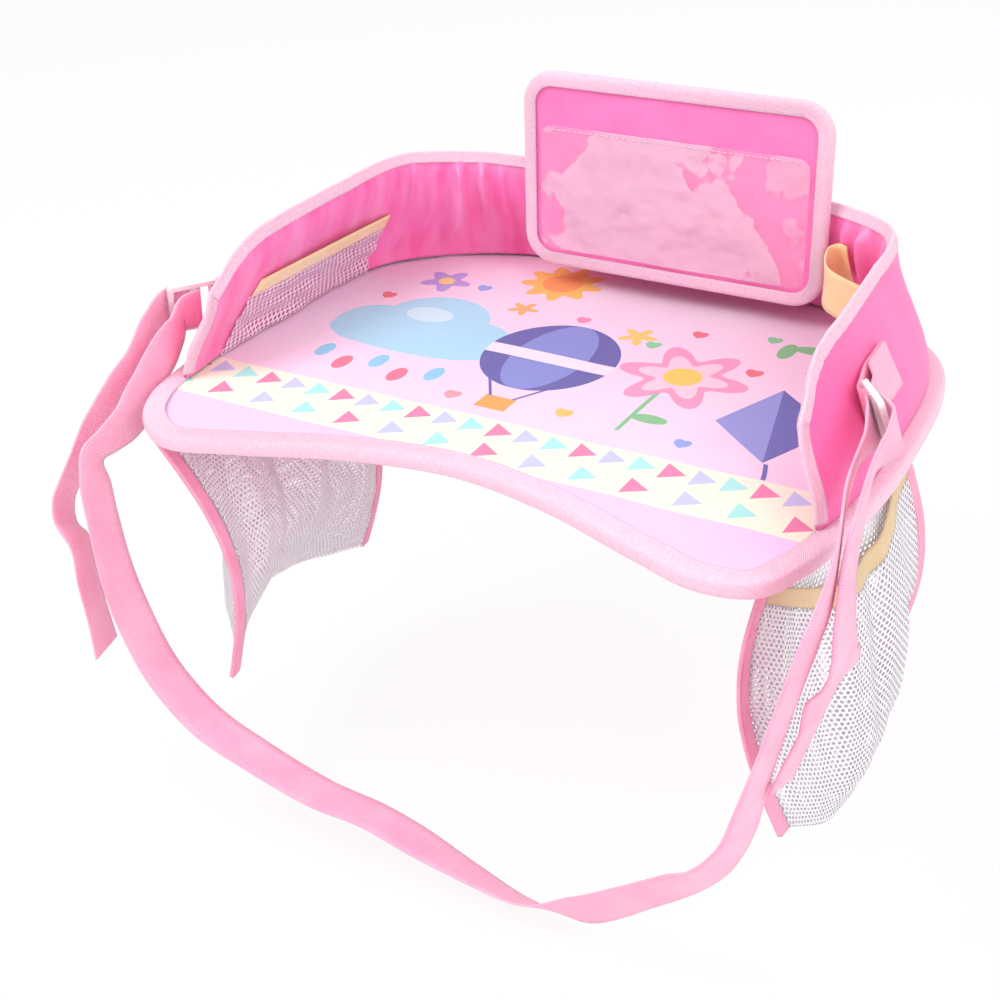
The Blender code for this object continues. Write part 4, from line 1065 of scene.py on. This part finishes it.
@dataclass
class Holder:
    """The tablet holder: two cloths on a board, a clear window and the tape round them."""

    width: float = 0.1965
    height: float = 0.121
    corner: float = 0.020
    x: float = 0.0165
    z: float = 0.0823
    lean: float = math.radians(2.2)
    y: float = 0.1122
    tape: float = 0.001
    tape_width: float = 0.0086
    seam: float = 0.0113
    window_drop: float = 0.021
    front: float = 0.0033
    face: float = 0.0045

    def world(self, local: Array) -> Array:
        """Turns places in the holder's own frame, its X along it, Y up it and Z out of its face."""
        turn = math.pi / 2 - self.lean
        y, z = local[..., 1], local[..., 2]
        up, out = y * math.sin(turn) + z * math.cos(turn), y * math.cos(turn) - z * math.sin(turn)
        return np.stack([local[..., 0] + self.x, out + self.y, up + self.z], axis=-1)

    def loop(self, inset: float, count: int) -> Array:
        """Evenly spaced points of a rectangle with round corners."""
        w, h, r = self.width / 2 - inset, self.height / 2 - inset, max(self.corner - inset, 0.001)
        turn = np.linspace(0, np.pi / 2, 14)
        arcs = []
        for k, (sx, sy) in enumerate(((1, 1), (-1, 1), (-1, -1), (1, -1))):
            angle = turn + k * np.pi / 2
            arcs.append(np.stack([sx * (w - r) + r * np.cos(angle), sy * (h - r) + r * np.sin(angle)], axis=1))
        points = np.concatenate(arcs + [arcs[0][:1]])
        return along(points, np.arange(count) / count)

    def panel(self, width: float, height: float, corner: float, shift: float, columns: int, rows: int) -> Array:
        """A flat grid inside a rectangle with round corners: each column ends on the arc."""
        u = np.linspace(0.004, 0.996, columns)
        x = width * (u - 0.5)
        past = np.maximum(0.0, np.abs(x) - (width / 2 - corner))
        half = height / 2 - corner + np.sqrt(np.maximum(corner**2 - past**2, 0.0))
        v = np.linspace(-1, 1, rows)[:, None]
        y = half * v + shift
        return np.stack([np.broadcast_to(x, y.shape), y, 0 * y], axis=-1)

    def build(self) -> None:
        """Makes and fits the pieces."""
        inset = 0.0023
        size = (self.width - 2 * inset, self.height - 2 * inset, self.corner - inset, 0.0)
        back = self.panel(*size, 90, 60)
        back[..., 2] += 0.0004
        fit(surface("holder_back_cloth", self.world(back), 0.0008), "holder", "lining", "lining", "holder_back")
        front = self.panel(*size, 120, 80)
        front[..., 2] += self.front + 0.0002 * ripple(front, 0.05, 51)
        fit(surface("holder_front_cloth", self.world(front), 0.0009), "holder", "holder", "cover", "holder_front")
        edge = self.seam
        tall = self.height - 2 * edge - self.window_drop
        clear = self.panel(self.width - 2 * edge, tall, self.corner - edge, edge + (tall - self.height) / 2, 150, 90)
        inside = np.minimum(clamped((self.width / 2 - edge - np.abs(clear[..., 0])) / 0.02),
                            clamped((clear[..., 1].max() - clear[..., 1]) / 0.02))
        clear[..., 2] += self.face + 0.0004 + 0.0006 * (ripple(clear, 0.055, 52) + 0.6) * inside
        window = surface("holder_clear_window", self.world(clear), NET_THICK)
        fit(window, "holder", "window", "window", "holder_window")
        fit(self.binding(), "holder", "tape", "tape", "holder_binding")
        line = closed_seam(self.loop, self.tape_width - SEAM_INSET, 700, self.face + STITCH_RISE)
        seam = self.world(line)
        out = np.tile(self.world(np.array([0.0, 0.0, 1.0])) - self.world(np.zeros(3)), (len(line), 1))
        fit(stitches("holder_stitches", seam, out), "holder", "thread", "tape")
        hem = clear[-1, 6:-6].copy()
        hem[:, 1] -= 0.0022
        hem[:, 2] += 0.0004
        fit(stitches("window_stitches", self.world(hem), out[:len(hem)]), "holder", "thread", "window")
        dress(bpy.data.objects["holder_hook_strip"], "strip")
        dress(bpy.data.objects["holder_board"], "board")

    def binding(self) -> bpy.types.Object:
        """The tape round the holder: a rounded U section."""
        tape, wide = self.tape, self.tape_width
        high, low, curl = self.face + tape / 2, -0.0003 - tape / 2, 2 * tape
        section = curve_through(
            [(wide, high), (wide * 0.75, high + 0.0002), (wide / 2, high + 0.0004), (curl, high + 0.0001),
             (tape * 0.8, high - curl / 2), (tape * 0.5, (high + low) / 2), (tape * 0.8, low + curl / 2), (curl, low),
             (wide / 2, low), (wide, low)], 3)
        count = 420
        points = carried(self.loop, section, count)
        pucker = 0.00014 * np.sin(np.arange(count) / count * TAU * 120)
        way = np.sign(section[:, 1:] - (high + low) / 2)
        points[..., 2] += pucker * clamped((section[:, :1] - curl) / wide) * way
        return surface("holder_edge_tape", self.world(points), tape, wrap=True)


@dataclass
class SidePocket:
    """A net bag under one side of the tray: one net folded at the bottom, taped at both ends."""

    side: str
    depth: float
    swing: float
    swell: tuple
    bow: tuple
    tuck: tuple
    mouth_top: float
    mouth_sag: float
    seam: tuple
    front_share: float
    hem_rise: float
    drop: float
    layers: float = 0.0026
    net: float = 0.0008
    fold: float = 0.0030
    band: float = 0.009
    tape_width: float = 0.008
    tape_thick: float = 0.0026
    crease: float = 0.0012
    swells: tuple = ((0.0, 0.0, 0.0), (0.2, 0.45, 0.45), (0.45, 0.95, 0.90), (0.75, 1.0, 1.0), (1.0, 0.0, 0.0))

    def __post_init__(self) -> None:
        """Works out the seam's frame."""
        ends = np.array(self.seam) * (RIM.half_width, RIM.depth)
        run = ends[1] - ends[0]
        self.length = float(np.linalg.norm(run))
        self.way = 1 if self.side == "right" else -1
        self.turn = np.array((Matrix.Rotation(-math.atan2(run[0], run[1]), 3, "Z")
                              @ Matrix.Rotation(math.radians(self.swing), 3, "Y")))
        self.at = np.append(ends.mean(axis=0), -self.drop)
        self.curve = curve_through(self.swells, 24)

    def hang(self, t: Array, u: Array, off: Array) -> Array:
        """Places a share of the way down and back, off the hanging plane, bowed by a half sine."""
        keeps = self.front_share + (1 - self.front_share) * u
        depth = self.depth * keeps * (1 - self.hem_rise * np.sin(np.pi * u))
        bow = (self.bow[0] + (self.bow[1] - self.bow[0]) * u) * np.sin(np.pi * t)
        tuck = (self.tuck[0] + (self.tuck[1] - self.tuck[0]) * u) * t**2
        out = self.way * (off - bow - tuck)
        local = np.stack(np.broadcast_arrays(out, (u - 0.5) * self.length, -t * depth), axis=-1)
        return local @ self.turn.T + self.at

    def sheet(self, t: Array, u: Array, outer: bool, stand: float = 0.0) -> Array:
        """Places of the inner or of the outer net, with soft folds that grow towards the hem."""
        full = np.sin(np.pi * clamped(u))
        k = 2 if outer else 1
        swell = np.interp(t, self.curve[:, 0], self.curve[:, k]) * self.swell[1 if outer else 0]
        fold = self.fold * np.sin(TAU * 3 * u) * np.sin(np.pi * t)
        fold = fold + 0.0011 * np.sin(TAU * (7 * u + 0.6 * t) + k) * np.sin(np.pi * t) * full
        layer = self.layers / 2 + stand
        return self.hang(t, u, (layer if outer else -layer) + full * (swell + self.swell[2] * t**5) + fold)

    def mouth(self, u: Array) -> Array:
        """How far down the outer net starts."""
        return (self.mouth_top + self.mouth_sag * np.sin(np.pi * u) + self.band + 0.0003) / self.depth

    def build(self) -> None:
        """Makes and fits the net, its elastic and the tapes on its ends."""
        u, v = np.meshgrid(np.linspace(0, 1, 70), np.linspace(0, 1, 60))
        inner = self.sheet(v, u, False)
        turn = np.linspace(0, np.pi, 8)[1:-1, None]
        flat = u[:6]
        hem = self.sheet(1.0 + 0 * flat, flat, False)
        moved = self.layers / 2 * (1 - np.cos(turn))
        across, down = self.turn[:, 0] * self.way, -self.turn[:, 2]
        hem = hem + moved[..., None] * across + (self.layers / 2 * np.sin(turn))[..., None] * down
        outer = self.sheet(1 - (1 - self.mouth(u)) * v, u, True)
        points = np.concatenate([inner, hem, outer])
        slack = np.sin(np.pi * np.linspace(0, 1, len(points)))[:, None]
        points += facing(points) * (self.crease * ripple(points, 0.035, 61 + self.way) * slack)[..., None]
        body = f"pocket_{self.side}"
        bag = surface(f"pocket_bag_{self.side}", points, NET_THICK)
        fit(bag, body, "net", "net", f"pocket_net_{self.side}")
        gap, wide = 0.0007 / self.depth, (self.band - self.net) / self.depth
        top = self.mouth(u[:8]) - gap - (1 - np.linspace(0, 1, 8)[:, None]) * wide
        band = self.sheet(np.maximum(top, 0.0), u[:8], True)
        band = surface(f"pocket_band_{self.side}", band, ELASTIC_THICK)
        fit(band, body, "tan_elastic", "elastic", f"pocket_elastic_{self.side}")
        for end, name, beyond in ((0.0, "front", -1), (1.0, "rear", 1)):
            t, share = np.meshgrid(np.linspace(0, 1, 90), np.linspace(0, 1, 7))
            reach = (0.0003 + self.net * 0.5 + share * self.tape_width)[..., None]
            spot = self.hang(t, end + 0 * t, 0.0) + reach * (self.turn[:, 1] * beyond) - np.array((0, 0, 0.0015))
            spot = spot + (0.0006 * np.sin(np.pi * share) * ripple(spot, 0.02, 71))[..., None] * self.turn[:, 0]
            tape = surface(f"pocket_{name}_edging_{self.side}", spot, self.tape_thick)
            fit(tape, body, "seam_tape", "webbing", f"pocket_{name}_tape_{self.side}")


@dataclass
class Belt:
    """The webbing belt with its two slide buckles and the tabs that carry them."""

    width: float = 0.025
    thick: float = 0.0014
    drop: float = 0.233
    buckle_length: float = 0.030
    buckle_bar: float = 0.0032
    turn: float = 0.0036
    last_off: float = 0.0048
    tab_stand: float = 0.0034
    tab_length: float = 0.048
    tab_sewn: float = 0.025
    buckles: dict = field(default_factory=lambda: {
        "right": ((0.934, -0.132, 0.496), (0.28, 0.10, -0.95), (0.58, -0.81, 0.05)),
        "left": ((-0.949, -0.179, 0.382), (-0.30, 0.0, -0.95), (-0.60, -0.80, 0.0))})
    route: tuple = (
        ((0.971, -0.208, 0.206), (0.10, 0.20, -0.97)), ((0.976, -0.250, 0.189), (-0.20, 0.35, -0.90)),
        ((0.981, -0.298, 0.155), (-0.15, 0.30, -0.94)), ((1.000, -0.353, 0.137), (-0.06, 0.20, -0.98)),
        ((1.029, -0.419, 0.116), (-0.06, 0.20, -0.98)), ((1.053, -0.480, 0.099), (-0.08, 0.41, -0.91)),
        ((1.053, -0.516, 0.052), (-0.03, 0.70, -0.71)), ((1.038, -0.540, -0.017), (0.08, 0.96, -0.27)),
        ((1.014, -0.546, -0.112), (0.13, 0.99, -0.07)), ((0.976, -0.546, -0.249), (0.14, 0.99, -0.03)),
        ((0.933, -0.546, -0.408), (0.24, 0.97, -0.06)), ((0.899, -0.546, -0.532), (0.38, 0.91, -0.15)),
        ((0.832, -0.546, -0.644), (0.55, 0.74, -0.39)), ((0.760, -0.546, -0.704), (0.55, 0.54, -0.64)),
        ((0.654, -0.546, -0.781), (0.54, 0.47, -0.70)), ((0.500, -0.546, -0.884), (0.48, 0.37, -0.80)),
        ((0.394, -0.546, -0.923), (0.19, 0.68, -0.71)), ((0.312, -0.546, -0.931), (-0.06, 0.80, -0.59)),
        ((0.154, -0.546, -0.901), (-0.09, 0.92, -0.38)), ((-0.019, -0.546, -0.858), (-0.04, 0.99, -0.15)),
        ((-0.139, -0.546, -0.833), (-0.02, 0.99, -0.15)), ((-0.308, -0.546, -0.824), (-0.01, 1.00, -0.07)),
        ((-0.514, -0.546, -0.777), (0.00, 1.00, 0.00)), ((-0.688, -0.546, -0.717), (0.04, 1.00, 0.06)),
        ((-0.817, -0.546, -0.605), (0.06, 1.00, 0.04)), ((-0.885, -0.546, -0.476), (0.08, 1.00, 0.03)),
        ((-0.923, -0.546, -0.348), (0.01, 1.00, -0.03)), ((-0.947, -0.540, -0.215), (-0.06, 0.99, -0.16)),
        ((-0.981, -0.522, -0.116), (0.03, 0.83, -0.55)), ((-1.010, -0.498, -0.064), (-0.18, 0.71, -0.69)),
        ((-0.990, -0.468, -0.039), (-0.15, 0.50, -0.85)), ((-0.976, -0.431, -0.017), (0.04, 0.36, -0.93)),
        ((-0.983, -0.389, 0.009), (0.22, 0.45, -0.86)), ((-0.992, -0.347, 0.047), (0.06, 0.42, -0.90)),
        ((-0.986, -0.308, 0.092), (0.06, 0.50, -0.86)), ((-0.986, -0.271, 0.128), (-0.14, 0.30, -0.94)),
        ((-0.986, -0.245, 0.161), (-0.27, 0.10, -0.96)))
    right_tail: tuple = (
        ((1.040, -0.220, 0.219), (0.18, 0.15, -0.97)), ((1.029, -0.268, 0.206), (-0.21, 0.34, -0.91)),
        ((1.034, -0.317, 0.180), (-0.14, 0.42, -0.90)), ((1.048, -0.383, 0.124), (-0.04, 0.48, -0.87)),
        ((1.067, -0.444, 0.077), (0.03, 0.69, -0.73)), ((1.082, -0.474, 0.004), (0.07, 0.89, -0.45)),
        ((1.096, -0.492, -0.056), (0.13, 0.98, -0.15)), ((1.087, -0.486, -0.107), (0.29, 0.94, 0.15)),
        ((1.043, -0.471, -0.180), (0.30, 0.95, 0.05)), ((1.019, -0.468, -0.270), (0.13, 0.99, -0.03)),
        ((0.990, -0.474, -0.352), (0.14, 0.98, -0.04)), ((0.966, -0.486, -0.429), (0.15, 0.98, -0.04)))
    left_tail: tuple = (
        ((-1.055, -0.266, 0.156), (-0.25, 0.15, -0.95)), ((-1.052, -0.298, 0.129), (-0.20, 0.45, -0.87)),
        ((-1.048, -0.329, 0.082), (-0.09, 0.72, -0.69)), ((-1.067, -0.365, 0.034), (-0.03, 0.66, -0.75)),
        ((-1.082, -0.401, -0.009), (-0.09, 0.63, -0.77)), ((-1.096, -0.444, -0.052), (-0.28, 0.67, -0.69)),
        ((-1.101, -0.474, -0.103), (-0.27, 0.83, -0.49)), ((-1.120, -0.492, -0.159), (-0.19, 0.90, -0.40)),
        ((-1.135, -0.510, -0.206), (-0.24, 0.85, -0.47)), ((-1.115, -0.528, -0.253), (-0.23, 0.84, -0.49)),
        ((-1.067, -0.534, -0.292), (-0.38, 0.91, -0.18)), ((-1.062, -0.534, -0.395), (-0.34, 0.94, -0.02)),
        ((-1.053, -0.534, -0.494), (-0.34, 0.94, -0.03)), ((-1.043, -0.534, -0.609), (-0.24, 0.97, -0.02)))

    def lay(self, stops: tuple) -> tuple[Array, Array]:
        """Places and edge ways of a list of stops."""
        pairs = np.array(stops)
        return pairs[:, 0] * (RIM.half_width, RIM.depth, self.drop), pairs[:, 1]

    def frame(self, side: str) -> tuple[Array, Array, Array, Array]:
        """A buckle's tab bar, the way of its bars, of its length and outwards."""
        place, bars, reaches = (np.array(v) for v in self.buckles[side])
        bar = place * (RIM.half_width, RIM.depth, WALL.height) + (0.0, 0.0, WALL.z)
        reaches = unit(reaches)
        bars = unit(bars - bars.dot(reaches) * reaches)
        return bar, bars, reaches, np.cross(bars, reaches) * (1 if side == "left" else -1)

    def half_turn(self, centre: Array, start: Array, towards: Array) -> Array:
        """Points of a half circle round a bar."""
        angle = np.linspace(0, np.pi, 7)[:, None]
        return centre + self.turn * (np.cos(angle) * start + np.sin(angle) * towards)

    def threaded(self, side: str) -> tuple[Array, Array]:
        """The webbing's way round a buckle's middle bar and over its last one."""
        bar, bars, reaches, out = self.frame(side)
        pitch = (self.buckle_length - self.buckle_bar) / 2
        middle = bar + reaches * pitch
        points = np.concatenate([self.half_turn(middle, -out, -reaches),
                                 [middle + reaches * pitch + out * self.last_off]])
        return points, np.tile(bars, (len(points), 1))

    def webbing(self) -> tuple[bpy.types.Object, float]:
        """The belt from tail to tail, and its length."""
        tail, route, end = self.lay(self.right_tail), self.lay(self.route), self.lay(self.left_tail)
        right, left = self.threaded("right"), self.threaded("left")
        stops = np.concatenate([tail[0][::-1], right[0][::-1], route[0], left[0], end[0]])
        ways = np.concatenate([tail[1][::-1], right[1][::-1], route[1], left[1], end[1]])
        line, edge = curve_through(stops, 14), curve_through(ways, 14)
        length = float(np.linalg.norm(np.diff(line, axis=0), axis=1).sum())
        return ribbon("belt_strap", line, edge, self.width, self.thick * STRAP_SHARE), length

    def tab(self, side: str) -> bpy.types.Object:
        """A doubled tab: along the wall, round the tab bar and back."""
        bar, bars, reaches, out = self.frame(side)
        height = bar[2] - WALL.z
        share = np.linspace(0.0, 0.35, 141) if side == "right" else np.linspace(1.0, 0.65, 141)
        ys = WALL.point(share, 0.0, 0.0)[:, 1]
        sewn = np.array([self.tab_length, self.tab_length - self.tab_sewn / 2, self.tab_length - self.tab_sewn])
        here = np.interp(bar[1] + sewn, ys, share)
        levels = [(height + way * self.width / 2) / WALL.tall(here) for way in (-1, 1)]
        runs, ups = [], []
        for stand in (self.tab_stand, self.tab_stand + self.thick + 0.0003):
            low, high = (WALL.point(here, level, -stand) for level in levels)
            runs.append((low + high) / 2)
            ups.append(-unit(high - low))
        back = unit(runs[0][-1] - bar) * 2 * self.turn
        turn = self.half_turn(bar, -out, reaches)
        turn = np.concatenate([turn[:1] + back, turn, turn[-1:] + back])
        stops = np.concatenate([runs[0], turn, runs[1][::-1]])
        ways = np.concatenate([ups[0], np.tile(bars, (len(turn), 1)), ups[1][::-1]])
        line, edge = curve_through(stops, 12), curve_through(ways, 12)
        return ribbon(f"tab_{side}", line, edge, self.width, self.thick * STRAP_SHARE)

    def build(self) -> None:
        """Makes and fits the strap, the tabs and the buckles' plastic."""
        strap, length = self.webbing()
        fit(strap, "belt", "webbing", "webbing", "belt_webbing")
        for side in self.buckles:
            bar, _, _, _ = self.frame(side)
            tab = dress(self.tab(side), "webbing")
            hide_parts(f"buckle_tab_{side}")
            away = np.array((0.0, self.tab_length - self.tab_sewn, 0.0))
            tuple(bar + away)
            tuple(bar + away * 0.15)
            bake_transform(tab)
            dress(bpy.data.objects[f"buckle_{side}"], "buckle")


POCKETS = (
    SidePocket("left", 0.168, -10, (0.002, 0.045, 0.030), (0.024, 0.030), (0.0, 0.0), 0.006, 0.014,
               ((-0.855, -0.430), (-0.952, 0.045)), 0.955, 0.07, 0.0011),
    SidePocket("right", 0.118, -7, (0.004, 0.016, 0.006), (0.0165, -0.010), (0.0, 0.012), 0.001, 0.021,
               ((0.880, -0.428), (0.955, -0.006)), 1.17, -0.26, 0.0006),
)


# ---- the studio


@dataclass(frozen=True)
class Studio:
    """A white floor, soft lamps and the camera."""

    eye: tuple = (0.4091, -0.7436, 0.4208)
    right: tuple = (0.8653, 0.4994, -0.0434)
    up: tuple = (-0.2205, 0.4569, 0.8618)
    back: tuple = (0.4502, -0.7361, 0.5055)
    lens: float = 59.47
    floor: float = -0.232

    def camera(self) -> None:
        """The camera at the photograph's place."""
        data = bpy.data.cameras.new("camera")
        data.lens, data.sensor_width, data.clip_start = self.lens, 36.0, 0.01
        made = bpy.data.objects.new("camera", data)
        turn = Matrix((self.right, self.up, self.back)).transposed().to_4x4()
        made.matrix_world = Matrix.Translation(self.eye) @ turn
        bpy.context.scene.collection.objects.link(made)
        bpy.context.scene.camera = made

    def white(self) -> bpy.types.Material:
        """A floor that the camera, gloss and clear things see as white, with the object's shadow left on it."""
        paint = Paint("studio white", Roughness=0.9, Base_Color=(0.9, 0.9, 0.9))
        glow = paint.node("ShaderNodeEmission", {}, {"Color": (1.0, 1.0, 1.0), "Strength": 1.0})
        rays = paint.node("ShaderNodeLightPath", {}, {}).node.outputs
        seen = Value(paint, rays["Is Camera Ray"]) + Value(paint, rays["Is Glossy Ray"])
        seen = (seen + Value(paint, rays["Is Transmission Ray"])).math("MINIMUM", 1.0) * 0.86
        mixed = paint.node("ShaderNodeMixShader", {}, {0: seen, 1: paint.shader.outputs[0], 2: glow})
        paint.tree.links.new(mixed, paint.tree.nodes["Material Output"].inputs[0])
        return paint.material

    def lamp(self, name: str, place: tuple, size: float, power: float) -> None:
        """A square soft lamp that looks at the middle of the tray."""
        data = bpy.data.lights.new(name, "AREA")
        data.shape, data.size, data.energy = "SQUARE", size, power
        made = bpy.data.objects.new(name, data)
        back = unit(np.array(place))
        right = unit(np.cross((0.0, 0.0, 1.0), back))
        turn = Matrix(np.stack([right, np.cross(back, right), back], axis=1).tolist()).to_4x4()
        made.matrix_world = Matrix.Translation(place) @ turn
        bpy.context.scene.collection.objects.link(made)

    def build(self) -> None:
        """Makes the floor, the lamps, the world and the camera."""
        bpy.context.scene.view_settings.view_transform = "Standard"
        side = np.linspace(-6.0, 6.0, 3)
        x, y = np.meshgrid(side, side)
        floor = surface("studio_floor", np.stack([x, y, 0 * x + self.floor], axis=-1))
        floor.data.materials.append(self.white())
        world = bpy.data.worlds.new("studio")
        world.use_nodes = True
        bpy.context.scene.world = world
        tree = world.node_tree
        light = tree.nodes["Background"]
        plain = tree.nodes.new("ShaderNodeBackground")
        for shade, strength in ((light, 0.72), (plain, 1.0)):
            shade.inputs[0].default_value = (1.0, 1.0, 1.0, 1.0)
            shade.inputs[1].default_value = strength
        path, mix = tree.nodes.new("ShaderNodeLightPath"), tree.nodes.new("ShaderNodeMixShader")
        tree.links.new(path.outputs["Is Camera Ray"], mix.inputs[0])
        tree.links.new(light.outputs[0], mix.inputs[1])
        tree.links.new(plain.outputs[0], mix.inputs[2])
        tree.links.new(mix.outputs[0], tree.nodes["World Output"].inputs[0])
        self.lamp("key", (-0.9, -0.9, 1.5), 1.0, 21.0)
        self.lamp("fill", (1.3, -0.7, 0.8), 1.2, 10.0)
        self.lamp("rear", (0.3, 1.3, 1.2), 1.0, 8.0)
        self.camera()


def main() -> None:
    """Builds every sub-assembly."""
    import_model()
    for part in (Studio(), TrayBase(), WALL, InnerPocket(), BottleLoop(), Holder(), *POCKETS, Belt()):
        part.build()
        LOG.info("built %s", type(part).__name__)


if __name__ == "__main__":
    main()
